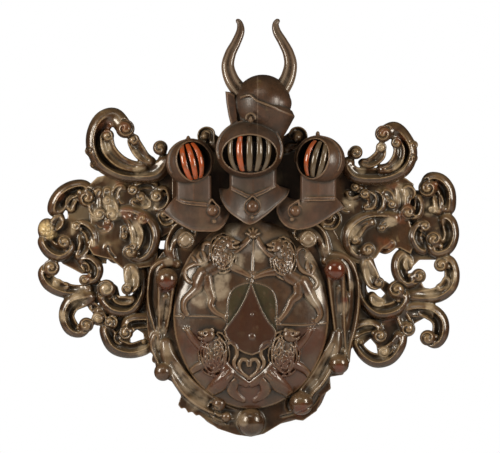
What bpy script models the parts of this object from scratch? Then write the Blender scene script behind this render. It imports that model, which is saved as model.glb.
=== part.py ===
"""Carved wooden armorial shield: a bombe field with four lions in a rolled frame, three barred helmets,
a horned hat as crest, and a wing of leaf scrolls on each side. It hangs flat on a wall."""

import math

import bmesh
import bpy
from mathutils import Matrix, Vector

# Driving sizes, in metres.
OVERALL_WIDTH = 0.852
BOARD = 0.036
HELMET_WALL = 0.009
HOUSING = 0.002
SIDE_GAP = 0.0008
JOINT_GAP = 0.0003
WELD = 0.00001
SLIVER = 0.00002

# The carver's squared drawing, which all carving is laid out on: places are squares across from its
# left edge and squares down from its top, and heights are squares out from the wall.
DRAWING_WIDTH = 426
SQUARE = OVERALL_WIDTH / DRAWING_WIDTH
MIDDLE_ACROSS = 251
MOUNT_DOWN = 250
SEAT = (BOARD - HOUSING + JOINT_GAP) / SQUARE
FAR_OUT = 110

# Sections of a carved roll, in half widths: (place across the roll, height). The high lip is on the
# outside of the curl.
GUTTER = [(-0.8, 0), (0.85, 0), (1.0, 0.7), (0.98, 1.5), (0.8, 2.0), (0.5, 2.1), (0.25, 1.8),
          (0.05, 1.35), (-0.45, 1.1), (-0.9, 1.25), (-1.0, 0.9)]
ROUND_LEAF = [(-0.8, 0), (0.8, 0), (1.0, 0.7), (0.8, 1.4), (0.35, 1.8), (-0.35, 1.8), (-0.8, 1.4),
              (-1.0, 0.7)]
LIMB = [(-1.0, 0), (1.0, 0), (0.6, 1.0), (-0.6, 1.0)]
BODY = [(-1.0, 0), (1.0, 0), (0.65, 0.65), (-0.65, 0.65)]
BLANK = [(-1.0, 0), (1.0, 0), (1.0, 20), (-1.0, 20)]
HORN_SIDES = 8
STEPS = 3
TIP_SHARE = 0.6
VOXEL = 0.002
SHARP_EDGE = math.radians(35)
# How far the carving is drawn behind its back before that is planed flat.
BEHIND = 3
WEB = 8
WING_FACES = 1400
SHIELD_FACES = 1720
TOP_SCROLL_FACES = 310

# Each roll: knots (across, down, half width) from root to tip, height of its back at root and tip,
# its section, and the ball at its tip (across, down, radius, height of its centre) or None.
LEFT_WING = [
    ([(55, 220, 8), (56, 206, 9), (62, 194, 9), (74, 188, 9), (85, 191, 8), (90, 201, 6)], (2, 5),
     GUTTER, (82, 203, 6, 14)),
    ([(62, 219, 8), (49, 226, 9), (44, 239, 9), (50, 252, 9), (62, 254, 7), (68, 246, 5)], (3, 6),
     GUTTER, (63, 243, 5, 14)),
    ([(70, 229, 5), (77, 224, 6), (88, 229, 8), (91, 241, 8), (84, 253, 7), (70, 259, 6)], (6, 4),
     GUTTER, None),
    ([(73, 235, 4), (80, 239, 5), (84, 249, 4)], (5, 5), ROUND_LEAF, None),
    ([(94, 289, 7), (78, 292, 7), (62, 290, 8), (49, 283, 8), (44, 273, 7)], (2, 4),
     GUTTER, (52, 268, 8, 13)),
    ([(76, 261, 5), (88, 260, 6), (96, 268, 7), (94, 278, 6)], (3, 5), GUTTER, (84, 280, 6, 13)),
    ([(97, 296, 6), (83, 298, 7), (70, 303, 8), (66, 316, 8), (71, 328, 8), (81, 331, 6)], (3, 6),
     GUTTER, (86, 322, 7, 15)),
    ([(87, 303, 5), (95, 308, 6), (100, 318, 7)], (4, 4), ROUND_LEAF, (97, 320, 8, 12)),
    ([(140, 265, 6), (141, 281, 6), (139, 296, 7), (129, 309, 8), (114, 308, 9), (103, 297, 7)], (3, 4),
     GUTTER, (105, 288, 9, 12)),
    ([(128, 262, 6), (131, 273, 8), (132, 284, 8)], (6, 8), ROUND_LEAF, (127, 289, 6, 13)),
    ([(103, 318, 6), (106, 333, 8), (115, 346, 9), (130, 351, 8), (145, 347, 8), (151, 345, 6)], (3, 2),
     GUTTER, None),
    ([(156, 322, 7), (142, 321, 8), (129, 323, 8), (124, 334, 6)], (2, 5), GUTTER, None),
    ([(116, 213, 6), (132, 214, 8), (146, 223, 9), (151, 237, 9), (148, 251, 8), (138, 257, 6)], (10, 9),
     GUTTER, (132, 254, 6, 22)),
    ([(122, 213, 5), (131, 222, 6), (137, 236, 6), (136, 246, 4)], (12, 12), ROUND_LEAF, None),
    ([(118, 190, 6), (105, 196, 8), (99, 209, 9), (99, 223, 8), (108, 231, 6)], (9, 11),
     GUTTER, None),
    ([(122, 208, 5), (112, 216, 6), (113, 230, 6), (124, 238, 5)], (11, 12), ROUND_LEAF, None),
    ([(166, 190, 6), (150, 187, 7), (137, 188, 7), (129, 196, 6), (135, 203, 5)], (11, 12),
     GUTTER, (141, 197, 5, 24)),
    ([(143, 208, 5), (155, 207, 5), (162, 197, 5)], (12, 11), ROUND_LEAF, None),
    ([(107, 240, 7), (110, 252, 7), (120, 262, 6)], (8, 5), ROUND_LEAF, None),
]
RIGHT_WING = [
    ([(448, 216, 7), (449, 203, 8), (447, 190, 9), (437, 181, 9), (426, 181, 9), (420, 188, 7)], (2, 5),
     GUTTER, (428, 189, 6, 14)),
    ([(447, 208, 5), (435, 212, 7), (422, 209, 6)], (4, 7), ROUND_LEAF, None),
    ([(438, 215, 7), (449, 222, 8), (452, 235, 8), (447, 247, 8), (436, 250, 7), (430, 242, 5)], (3, 6),
     GUTTER, (437, 237, 6, 14)),
    ([(430, 226, 5), (419, 225, 6), (413, 235, 7), (417, 247, 7), (430, 253, 6)], (6, 4),
     GUTTER, None),
    ([(405, 246, 6), (401, 260, 8), (401, 273, 8), (409, 281, 7)], (4, 6), GUTTER, (418, 273, 8, 13)),
    ([(404, 296, 6), (420, 297, 7), (438, 295, 8), (450, 286, 8), (453, 273, 8), (449, 262, 7)], (3, 5),
     GUTTER, (441, 267, 7, 14)),
    ([(363, 272, 6), (361, 289, 6), (367, 303, 7), (380, 312, 8), (396, 309, 8), (403, 296, 7)], (3, 5),
     GUTTER, (394, 286, 7, 12)),
    ([(365, 254, 7), (369, 270, 8), (374, 282, 8)], (6, 8), ROUND_LEAF, (379, 283, 6, 13)),
    ([(398, 314, 6), (412, 310, 8), (428, 311, 8), (439, 320, 8), (440, 333, 8), (432, 342, 7)], (3, 6),
     GUTTER, (426, 334, 7, 15)),
    ([(397, 305, 6), (403, 318, 7), (407, 330, 7)], (4, 5), ROUND_LEAF, None),
    ([(406, 326, 6), (400, 344, 8), (390, 357, 8), (377, 361, 8), (365, 356, 7), (354, 350, 6)], (4, 3),
     GUTTER, None),
    ([(350, 336, 6), (359, 328, 7), (370, 326, 7), (380, 330, 6), (384, 339, 5)], (2, 5),
     GUTTER, None),
    ([(400, 219, 6), (382, 217, 7), (365, 220, 8), (352, 231, 9), (351, 245, 8), (359, 254, 6)], (10, 9),
     GUTTER, (367, 250, 6, 22)),
    ([(376, 220, 5), (365, 225, 6), (358, 237, 6), (359, 245, 4)], (12, 12), ROUND_LEAF, None),
    ([(383, 184, 6), (400, 191, 8), (410, 203, 9), (409, 217, 8), (399, 226, 6)], (9, 11),
     GUTTER, None),
    ([(377, 190, 5), (389, 200, 6), (391, 213, 6), (382, 225, 5)], (11, 12), ROUND_LEAF, None),
    ([(336, 192, 6), (350, 187, 7), (364, 188, 7), (371, 197, 6), (365, 205, 5)], (11, 12),
     GUTTER, (358, 198, 5, 24)),
    ([(357, 209, 5), (346, 209, 5), (339, 198, 5)], (12, 11), ROUND_LEAF, None),
    ([(396, 238, 7), (388, 246, 7), (379, 251, 6)], (8, 5), ROUND_LEAF, None),
]
LEFT_TOP_SCROLL = [
    ([(163, 150, 6), (166, 163, 7), (157, 173, 9), (140, 174, 10), (121, 172, 10), (103, 162, 11),
      (97, 144, 11), (101, 127, 10), (113, 119, 9), (123, 120, 8)], (0, 2), GUTTER, (126, 129, 9, 15)),
    ([(126, 168, 6), (114, 161, 8), (109, 149, 8), (111, 136, 8)], (4, 6), ROUND_LEAF, None),
    ([(156, 166, 5), (145, 160, 7), (136, 151, 8), (134, 141, 7)], (4, 5), ROUND_LEAF, None),
    ([(157, 159, 6), (160, 150, 7)], (3, 8), ROUND_LEAF, (161, 148, 8, 14)),
]
RIGHT_TOP_SCROLL = [
    ([(351, 154, 6), (347, 165, 7), (355, 175, 9), (371, 177, 10), (388, 176, 10), (402, 168, 11),
      (408, 153, 11), (402, 138, 9), (391, 130, 8), (383, 131, 7)], (0, 2), GUTTER, (383, 135, 8, 15)),
    ([(388, 172, 5), (399, 166, 7), (402, 154, 7), (396, 144, 8)], (4, 6), ROUND_LEAF, None),
    ([(362, 167, 6), (374, 161, 7), (381, 153, 6), (384, 145, 5)], (4, 5), ROUND_LEAF, None),
    ([(354, 162, 6), (354, 155, 7)], (3, 8), ROUND_LEAF, (355, 152, 8, 14)),
]
FRAME = [
    ([(174, 264, 5), (170, 250, 6), (173, 237, 6), (181, 228, 7), (191, 231, 6)], (14, 18),
     ROUND_LEAF, (186, 240, 9, 28)),
    ([(181, 266, 4), (168, 262, 5), (156, 269, 6), (153, 286, 6), (153, 304, 6), (157, 321, 6),
      (162, 333, 5)], (16, 12), ROUND_LEAF, (167, 279, 11, 30)),
    ([(167, 290, 6), (166, 304, 7), (164, 318, 6), (163, 330, 5)], (18, 16), ROUND_LEAF, None),
    ([(157, 329, 6), (156, 345, 7), (163, 361, 7)], (10, 10), ROUND_LEAF, (163, 372, 9, 22)),
    ([(167, 336, 5), (170, 354, 6), (177, 371, 7), (189, 387, 8), (204, 400, 8), (222, 409, 8),
      (240, 415, 7)], (15, 14), GUTTER, None),
    ([(178, 387, 4), (188, 401, 6), (203, 411, 7), (222, 421, 7), (240, 427, 6)], (6, 6),
     ROUND_LEAF, (251, 422, 14, 20)),
    ([(328, 262, 5), (325, 247, 6), (319, 233, 6), (307, 227, 6), (298, 234, 5)], (14, 18),
     ROUND_LEAF, (308, 239, 9, 28)),
    ([(322, 264, 4), (333, 256, 5), (346, 262, 6), (353, 279, 6), (354, 300, 6), (352, 320, 6),
      (347, 340, 6), (342, 352, 5)], (16, 12), ROUND_LEAF, (335, 269, 11, 30)),
    ([(338, 281, 6), (341, 296, 7), (342, 310, 6), (340, 321, 5)], (18, 16), ROUND_LEAF, None),
    ([(336, 326, 5), (333, 345, 6), (327, 362, 7), (317, 379, 8), (306, 392, 7)], (15, 14),
     GUTTER, (301, 403, 12, 26)),
    ([(343, 345, 5), (340, 356, 7)], (10, 12), ROUND_LEAF, (339, 364, 10, 22)),
    ([(327, 381, 4), (320, 393, 6), (312, 405, 7), (295, 413, 7), (277, 418, 7), (262, 425, 6)], (8, 7),
     ROUND_LEAF, None),
    ([(213, 150, 5), (208, 142, 6)], (10, 11), ROUND_LEAF, (206, 135, 8, 17)),
    ([(288, 152, 5), (295, 145, 6)], (10, 11), ROUND_LEAF, (297, 137, 9, 17)),
]

# Lions. Each has a body, limbs and tail as knots, a mane (across, down, radius, first and last angle of
# its locks in degrees anticlockwise from the right) and a head (across, down, radius, snout angle).
LIONS = [
    {
        "body": [(223, 247, 10), (221, 260, 9), (211, 271, 7), (200, 274, 7)],
        "limbs": [
            [(228, 253, 5), (238, 247, 4), (247, 240, 3), (250, 233, 3)],
            [(229, 264, 5), (240, 270, 4), (250, 275, 3)],
            [(201, 274, 7), (196, 286, 5), (186, 296, 4), (184, 315, 3)],
            [(209, 276, 6), (213, 291, 5), (210, 303, 4), (226, 316, 3)],
            [(196, 277, 3), (186, 275, 3), (188, 264, 3), (203, 260, 3), (208, 246, 4)],
        ],
        "mane": (221, 250, 14, 60, 260), "head": (232, 243, 6, -20),
    },
    {
        "body": [(281, 249, 10), (283, 262, 9), (293, 275, 7), (304, 282, 7)],
        "limbs": [
            [(276, 256, 5), (266, 250, 4), (257, 239, 3)],
            [(276, 271, 5), (266, 273, 4), (256, 277, 3)],
            [(305, 283, 7), (312, 298, 5), (319, 309, 4), (315, 322, 3)],
            [(297, 286, 6), (289, 300, 5), (286, 311, 4), (279, 320, 3)],
            [(311, 287, 3), (317, 277, 3), (303, 270, 3), (298, 259, 3), (304, 248, 4)],
        ],
        "mane": (283, 254, 14, -80, 120), "head": (272, 249, 6, 200),
    },
    {
        "body": [(214, 341, 11), (215, 356, 10), (225, 370, 8), (236, 383, 6)],
        "limbs": [
            [(207, 347, 6), (197, 341, 5), (187, 332, 4)],
            [(208, 362, 6), (197, 366, 5), (188, 371, 4)],
            [(227, 376, 8), (216, 389, 6), (208, 396, 5)],
            [(227, 347, 3), (235, 346, 3), (237, 357, 3), (236, 367, 3), (249, 378, 3)],
        ],
        "mane": (215, 346, 15, -80, 120), "head": (207, 334, 6, 150),
    },
    {
        "body": [(284, 344, 11), (284, 358, 10), (276, 372, 8), (267, 384, 6)],
        "limbs": [
            [(292, 350, 6), (302, 345, 5), (311, 336, 4)],
            [(290, 365, 6), (301, 369, 5), (309, 374, 4)],
            [(274, 380, 8), (284, 391, 6), (290, 398, 5)],
            [(264, 350, 3), (270, 346, 3), (272, 357, 3), (265, 368, 3), (253, 378, 3)],
        ],
        "mane": (284, 350, 15, 60, 260), "head": (291, 338, 6, 30),
    },
]
LOCKS = 5
LOCK_SWAY = 25
# Each lock of a mane: its share of the mane's radius at root, middle and tip, and its half widths there.
LOCK_REACH = (0.4, 0.8, 1.1)
LOCK_HALF = (4, 4, 2)
LIMB_SINK = 1.5
LOCK_SINK = 0.5
HEAD_RISE = 0.5
SNOUT_REACH = 1.2
SNOUT_SHARES = (0.55, 0.5, 0.6)

# The bombe field, its outline, and the small pointed shield on its middle.
FIELD_MIDDLE = (251, 318)
FIELD_HALF_WIDTH = 78
FIELD_HALF_HEIGHT = 90
FIELD_GROUND = 22
FIELD_CROWN = 18
FIELD_SIDES = 16
FIELD_RINGS = 10
SMALL_SHIELD_TOP = 42
SMALL_SHIELD = [(251, 284), (256, 299), (263, 313), (275, 329), (268, 345), (251, 354), (233, 345),
                (227, 329), (239, 313), (246, 299)]

SHIELD_EDGE = [
    (172, 168), (182, 152), (199, 148), (197, 135), (206, 127), (215, 134), (225, 141), (277, 141),
    (288, 133), (297, 127), (307, 136), (304, 148), (322, 152), (332, 168), (332, 226), (346, 252),
    (356, 264), (360, 285), (361, 305), (358, 325), (352, 343), (350, 362), (343, 375), (330, 377),
    (331, 389), (321, 397), (317, 411), (303, 421), (289, 419), (274, 428), (264, 434), (251, 437),
    (236, 435), (218, 429), (204, 419), (190, 412), (178, 406), (181, 396), (172, 382), (157, 374),
    (154, 358), (149, 345), (147, 325), (146, 300), (147, 278), (155, 262), (164, 250), (168, 238),
    (172, 222),
]
LEFT_BOARD = [
    (97, 177), (120, 172), (150, 165), (175, 168), (175, 230), (160, 238), (158, 251), (156, 266),
    (140, 268), (124, 270),
    (112, 260), (93, 255), (88, 247), (92, 235), (90, 215), (93, 195), (90, 184),
]
# Lower webs that fill the boards out between their scrolls.
LEFT_WEBS = [
    [(67, 200), (72, 192), (93, 192), (93, 258), (60, 258), (50, 246), (57, 230), (67, 221)],
    [(56, 256), (94, 256), (94, 274), (81, 274), (72, 269), (62, 264)],
    [(100, 254), (110, 256), (106, 260), (98, 262)],
    [(110, 281), (117, 287), (120, 299), (110, 300)],
    [(136, 296), (146, 296), (146, 318), (136, 314)],
    [(101, 311), (122, 312), (122, 320), (129, 330), (130, 342), (124, 346), (108, 336)],
    [(122, 318), (151, 318), (151, 346), (144, 343), (143, 334), (137, 330), (130, 334), (124, 334)],
]
RIGHT_WEBS = [
    [(417, 190), (442, 190), (444, 216), (414, 216)],
    [(412, 216), (446, 218), (444, 246), (416, 248)],
    [(402, 246), (452, 246), (437, 260), (420, 260), (414, 266), (404, 274)],
    [(400, 280), (422, 282), (425, 288), (438, 290), (408, 296)],
    [(378, 283), (386, 281), (398, 290), (394, 304), (372, 302), (382, 298), (386, 294), (382, 290)],
    [(354, 302), (374, 308), (374, 322), (356, 324)],
    [(354, 322), (400, 314), (406, 324), (398, 344), (388, 354), (379, 358), (377, 346), (371, 339),
     (364, 345), (354, 345)],
    [(402, 310), (432, 312), (424, 319), (415, 324), (412, 336), (402, 330)],
]
RIGHT_BOARD = [
    (406, 178), (386, 174), (350, 165), (328, 168), (328, 240), (342, 260), (360, 264), (376, 258),
    (382, 249), (400, 248), (411, 254), (415, 240), (408, 215), (412, 195), (414, 184),
]

# Helmets. Skull: (across, down) and radii across, up and out. Neck: middle across, top and foot down,
# half width and half depth. Gorget rim and pendants: (across, down, height over the seat).
SLOT_PITCH = math.radians(17.5)
SLOT_HALF_WIDTH = 2.6
SLOT_ENDS = (-1.0, -0.6, 0.0, 0.6, 1.0)
# A slot is cut from inside the hollow to outside the skull, both as shares of the skull's reach.
SLOT_FROM = 0.45
SLOT_TO = 1.3
NECK_TAPER = 0.94
COLLAR_DROP = 5
COLLAR_PROUD = 0.7
NECK_OVERLAP = 2
HELMETS = {
    "helmet_left": {
        "skull": (190, 162), "radii": (24, 23, 24), "rise": 15, "turn": 8, "lean": 14,
        "slots": (-1.5, -0.5, 0.5, 1.5), "slot_half": 16,
        "neck": (194, 178, 201, 16, 13), "neck_rise": 11,
        "rim": [(163, 212, 6), (172, 219, 9), (182, 225, 13), (193, 230, 16), (205, 231, 18),
                (217, 230, 18), (225, 223, 16), (229, 214, 12), (230, 205, 8)],
        "pendants": [(212, 211, 7, 19), (214, 221, 3, 20)],
    },
    "helmet_center": {
        "skull": (249.5, 150), "radii": (34, 30, 32), "rise": 22, "turn": 0, "lean": 0,
        "slots": (-2.5, -1.5, -0.5, 0.5, 1.5, 2.5), "slot_half": 19,
        "neck": (253, 168, 194, 23, 15), "neck_rise": 16,
        "rim": [(219, 188, 7), (221, 199, 12), (228, 210, 20), (238, 218, 28), (250, 224, 33),
                (263, 217, 28), (275, 207, 20), (286, 197, 12), (290, 189, 7)],
        "pendants": [(252, 207, 7, 32), (252, 217, 3, 34)],
    },
    "helmet_right": {
        "skull": (320, 160), "radii": (25, 24, 24), "rise": 15, "turn": -14, "lean": -13,
        "slots": (-1.5, -0.5, 0.5, 1.5), "slot_half": 16,
        "neck": (318, 178, 201, 17, 13), "neck_rise": 11,
        "rim": [(284, 196, 8), (277, 207, 12), (279, 217, 16), (287, 226, 18), (299, 229, 18),
                (313, 226, 16), (326, 219, 13), (337, 212, 9), (345, 208, 6)],
        "pendants": [(296, 210, 6, 19), (292, 219, 3, 20)],
    },
}
HELMET_SIDES = 12
HELMET_RINGS = 7
CAVITY_SIDES = 10
CAVITY_RINGS = 7

CREST_DOME = (263, 102, 27)
CREST_BAND = (263, 118)
CREST_BAND_FOOT = 27
CREST_BAND_TOP = 30
CREST_BAND_HEIGHT = 20
CREST_TILT = math.radians(-20)
CREST_PLATE_REAR = SEAT + 12
CREST_PLATE_FRONT = SEAT + 34
CREST_SIDES = 12
CREST_RINGS = 7
BAND_SIDES = 10
BLANK_SIDES = 24
BLANK_RINGS = 16
CREST_PLATE = [(225, 92), (235, 95), (236, 108), (239, 124), (231, 126), (228, 112), (225, 100)]
HORN_RISE = SEAT + 24
LEFT_HORN = [(240, 94, 9), (232, 81, 8), (227, 67, 7), (230, 54, 6), (236, 43, 5), (240, 32, 4),
             (238, 21, 2)]
RIGHT_HORN = [(279, 91, 9), (286, 79, 8), (290, 66, 7), (288, 54, 6), (283, 43, 5), (278, 33, 4),
              (279, 20, 2)]


def place(across, down, rise=0.0):
    """A place on the squared drawing as a point in metres: x right, y up, z out from the wall."""
    return Vector(((across - MIDDLE_ACROSS) * SQUARE, (MOUNT_DOWN - down) * SQUARE, rise * SQUARE))


def clear_scene():
    for old in list(bpy.data.objects):
        bpy.data.objects.remove(old)


def new_collection(name):
    group = bpy.data.collections.new(name)
    bpy.context.scene.collection.children.link(group)
    return group


def wood(name, colour, roughness):
    material = bpy.data.materials.new(name)
    material.use_nodes = True
    shader = material.node_tree.nodes["Principled BSDF"]
    shader.inputs["Base Color"].default_value = (*colour, 1.0)
    shader.inputs["Roughness"].default_value = roughness
    shader.inputs["Metallic"].default_value = 0.0
    return material


def put(name, mesh, group):
    """A new object that hangs on the wall's empty, so that the drawing stands upright."""
    body = bpy.data.objects.new(name, mesh)
    body.parent = bpy.data.objects["wall"]
    group.objects.link(body)
    return body


def as_cutter(body):
    body.hide_render = True
    body.display_type = "WIRE"
    return body


def mesh_of(curve, name, group):
    """The curve's surface as a welded mesh object in the curve's place."""
    bpy.context.view_layer.update()
    graph = bpy.context.evaluated_depsgraph_get()
    mesh = bpy.data.meshes.new_from_object(curve.evaluated_get(graph))
    weld(mesh)
    bpy.data.objects.remove(curve)
    return as_cutter(put(name, mesh, group))


def weld(mesh):
    skin = bmesh.new()
    skin.from_mesh(mesh)
    bmesh.ops.remove_doubles(skin, verts=skin.verts, dist=WELD)
    bmesh.ops.recalc_face_normals(skin, faces=skin.faces)
    skin.to_mesh(mesh)
    skin.free()


def section_curve(points, group):
    curve = bpy.data.curves.new("section", "CURVE")
    curve.dimensions = "2D"
    curve.fill_mode = "NONE"
    spline = curve.splines.new("POLY")
    spline.points.add(len(points) - 1)
    for point, (across, height) in zip(spline.points, points):
        point.co = (across, height, 0, 1)
    spline.use_cyclic_u = True
    return as_cutter(put("section", curve, group))


def turning(knots):
    """Above zero where the knots, seen from the front, curl anticlockwise."""
    total = 0.0
    for before, here, after in zip(knots, knots[1:], knots[2:]):
        first = place(*here[:2]) - place(*before[:2])
        second = place(*after[:2]) - place(*here[:2])
        total += first.x * second.y - first.y * second.x
    return total


def roll(name, knots, backs, section, group, growth=0.0):
    """A carved roll: its section follows a smooth spine and shrinks with the half widths."""
    count = len(knots)
    heights = [backs[0] + (backs[1] - backs[0]) * index / (count - 1) for index in range(count)]
    stations = list(zip(knots, heights))
    if turning(knots) < 0:
        stations.reverse()
    profile = section_curve(section, group)
    curve = bpy.data.curves.new(name, "CURVE")
    curve.dimensions = "3D"
    curve.twist_mode = "Z_UP"
    curve.resolution_u = STEPS
    curve.render_resolution_u = STEPS
    spline = curve.splines.new("BEZIER")
    spline.bezier_points.add(count - 1)
    for point, ((across, down, half), height) in zip(spline.bezier_points, stations):
        point.co = place(across, down, height)
        point.handle_left_type = "AUTO"
        point.handle_right_type = "AUTO"
        point.radius = half * SQUARE + growth
    curve.bevel_mode = "OBJECT"
    curve.bevel_object = profile
    curve.use_fill_caps = True
    result = mesh_of(put(name, curve, group), name, group)
    bpy.data.objects.remove(profile)
    return result


def curled(knots, tip):
    """The knots with one more at the ball, so that the roll runs into it."""
    if not tip:
        return knots
    across, down, radius, _ = tip
    return knots + [(across, down, radius * TIP_SHARE)]


def slab(name, outline, low, high, group, growth=0.0):
    """A flat piece with the given outline, between two heights over the wall."""
    curve = bpy.data.curves.new(name, "CURVE")
    curve.dimensions = "2D"
    curve.fill_mode = "BOTH"
    curve.extrude = (high - low) / 2 * SQUARE
    curve.offset = growth
    spline = curve.splines.new("POLY")
    spline.points.add(len(outline) - 1)
    for point, (across, down) in zip(spline.points, outline):
        point.co = (*place(across, down).xy, 0, 1)
    spline.use_cyclic_u = True
    body = mesh_of(put(name, curve, group), name, group)
    body.data.transform(Matrix.Translation((0, 0, (high + low) / 2 * SQUARE)))
    return body


def ball(name, centre, radii, group, sides=12, rings=8, turn=0.0, lean=0.0):
    """A ball or egg with its poles up and down; radii are across, up and out."""
    skin = bmesh.new()
    bmesh.ops.create_uvsphere(skin, u_segments=sides, v_segments=rings, radius=1.0)
    upright = Matrix.Rotation(math.radians(-90), 4, "X")
    size = Matrix.Diagonal((radii[0] * SQUARE, radii[1] * SQUARE, radii[2] * SQUARE, 1))
    pose = Matrix.Rotation(lean, 4, "Z") @ Matrix.Rotation(turn, 4, "Y")
    skin.transform(Matrix.Translation(centre) @ pose @ size @ upright)
    mesh = bpy.data.meshes.new(name)
    skin.to_mesh(mesh)
    skin.free()
    return as_cutter(put(name, mesh, group))


def drum(name, centre, foot, top, height, group, sides=8, tilt=0.0):
    """An upright turned stub, from its foot's radius to its top's."""
    skin = bmesh.new()
    bmesh.ops.create_cone(skin, cap_ends=True, segments=sides, radius1=foot * SQUARE,
                          radius2=top * SQUARE, depth=height * SQUARE)
    upright = Matrix.Rotation(math.radians(-90), 4, "X")
    skin.transform(Matrix.Translation(centre) @ Matrix.Rotation(tilt, 4, "Z") @ upright)
    mesh = bpy.data.meshes.new(name)
    skin.to_mesh(mesh)
    skin.free()
    return as_cutter(put(name, mesh, group))


def loft(name, rings, group):
    """A closed body through rings of points, with both ends capped."""
    skin = bmesh.new()
    loops = [[skin.verts.new(point) for point in ring] for ring in rings]
    for first, second in zip(loops, loops[1:]):
        for index in range(len(first)):
            after = (index + 1) % len(first)
            skin.faces.new((first[index], first[after], second[after], second[index]))
    skin.faces.new(loops[0])
    skin.faces.new(loops[-1])
    bmesh.ops.recalc_face_normals(skin, faces=skin.faces)
    mesh = bpy.data.meshes.new(name)
    skin.to_mesh(mesh)
    skin.free()
    return as_cutter(put(name, mesh, group))


def combine(body, operation, group, solver="MANIFOLD"):
    """Joins to the body, or cuts from it, everything in the group. The manifold solver is used where
    many leaves meet at slivers, since the exact one leaves open edges there."""
    step = body.modifiers.new(operation.lower(), "BOOLEAN")
    step.operation = operation
    step.solver = solver
    step.operand_type = "COLLECTION"
    step.collection = group


def finish(body, name, group, material):
    """Bakes the joins and cuts into the piece's mesh and puts it with the parts."""
    bpy.context.view_layer.update()
    graph = bpy.context.evaluated_depsgraph_get()
    mesh = bpy.data.meshes.new_from_object(body.evaluated_get(graph))
    skin = bmesh.new()
    skin.from_mesh(mesh)
    bmesh.ops.dissolve_degenerate(skin, dist=SLIVER, edges=skin.edges)
    skin.to_mesh(mesh)
    skin.free()
    mesh.materials.clear()
    mesh.materials.append(material)
    piece = put(name, mesh, group)
    bpy.data.objects.remove(body)
    mesh.shade_smooth()
    mesh.set_sharp_from_angle(angle=SHARP_EDGE)
    return piece


def rolls(name, entries, group, base=0.0):
    for index, (knots, backs, section, tip) in enumerate(entries):
        lifted = (backs[0] + base, backs[1] + base)
        roll(f"{name}_roll_{index}", curled(knots, tip), lifted, section, group)
        if tip:
            across, down, radius, height = tip
            ball(f"{name}_ball_{index}", place(across, down, height + base), (radius, radius, radius), group)


def blanks(name, entries, group, seat):
    """Straight-sided cutters over each roll and ball, a joint gap wider than they are."""
    for index, (knots, backs, section, tip) in enumerate(entries):
        roll(f"{name}_blank_{index}", curled(knots, tip), (seat, seat), BLANK, group, SIDE_GAP)
        if tip:
            across, down, radius, height = tip
            disc(f"{name}_disc_{index}", across, down, radius, seat, group)


def disc(name, across, down, radius, seat, group, sides=16):
    """A round cutter from the seat outwards that clears a ball of this radius by the joint gap."""
    clear = (radius + SIDE_GAP / SQUARE) / math.cos(math.pi / sides)
    outline = []
    for index in range(sides):
        angle = 2 * math.pi * index / sides
        outline.append((across + clear * math.cos(angle), down + clear * math.sin(angle)))
    slab(name, outline, seat - JOINT_GAP / SQUARE, FAR_OUT, group)


def field_rise(across, down):
    """Height of the bombe field over the wall."""
    u = (across - FIELD_MIDDLE[0]) / FIELD_HALF_WIDTH
    v = (down - FIELD_MIDDLE[1]) / FIELD_HALF_HEIGHT
    return FIELD_GROUND + FIELD_CROWN * math.sqrt(max(0.0, 1.0 - u * u - v * v))


def trim_back(body, rise):
    """Takes away what lies behind this height and closes the cut with a flat face."""
    skin = bmesh.new()
    skin.from_mesh(body.data)
    every = skin.verts[:] + skin.edges[:] + skin.faces[:]
    cut = bmesh.ops.bisect_plane(skin, geom=every, plane_co=(0, 0, rise * SQUARE), plane_no=(0, 0, 1),
                                 clear_inner=True)
    rim = [item for item in cut["geom_cut"] if isinstance(item, bmesh.types.BMEdge)]
    if rim:
        bmesh.ops.edgeloop_fill(skin, edges=rim)
    bmesh.ops.recalc_face_normals(skin, faces=skin.faces)
    skin.to_mesh(body.data)
    skin.free()


def gorget(name, form, group):
    """The plate below the neck: it runs from the collar out to its lip, solid back to the seat."""
    middle, _, foot, half, depth = form["neck"]
    count = len(form["rim"])
    sections = []
    for index, (across, down, height) in enumerate(form["rim"]):
        angle = math.pi * (index / (count - 1) - 0.5)
        collar_across = middle + (half + COLLAR_PROUD) * math.sin(angle)
        collar_down = foot - NECK_OVERLAP - COLLAR_DROP * (1 - math.cos(angle))
        collar_rise = form["neck_rise"] + (depth + COLLAR_PROUD) * math.cos(angle)
        sections.append([
            place(collar_across, collar_down, SEAT + collar_rise), place(across, down, SEAT + height),
            place(across, down, SEAT), place(collar_across, collar_down, SEAT),
        ])
    loft(name, sections, group)


def slot(name, form, step, group):
    """A lens-shaped cutter through the front wall, on its own meridian of the skull."""
    outline = []
    for side in (1, -1):
        for end in SLOT_ENDS[::side]:
            width = SLOT_HALF_WIDTH * (1 - end * end) * side
            if abs(end) < 1 or side > 0:
                outline.append((MIDDLE_ACROSS + width, MOUNT_DOWN + end * form["slot_half"]))
    reach = form["radii"][2]
    cutter = slab(name, outline, reach * SLOT_FROM, reach * SLOT_TO, group)
    turn = math.radians(form["turn"]) + step * SLOT_PITCH
    pose = Matrix.Rotation(math.radians(form["lean"]), 4, "Z") @ Matrix.Rotation(turn, 4, "Y")
    cutter.data.transform(Matrix.Translation(place(*form["skull"], SEAT + form["rise"])) @ pose)


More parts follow.
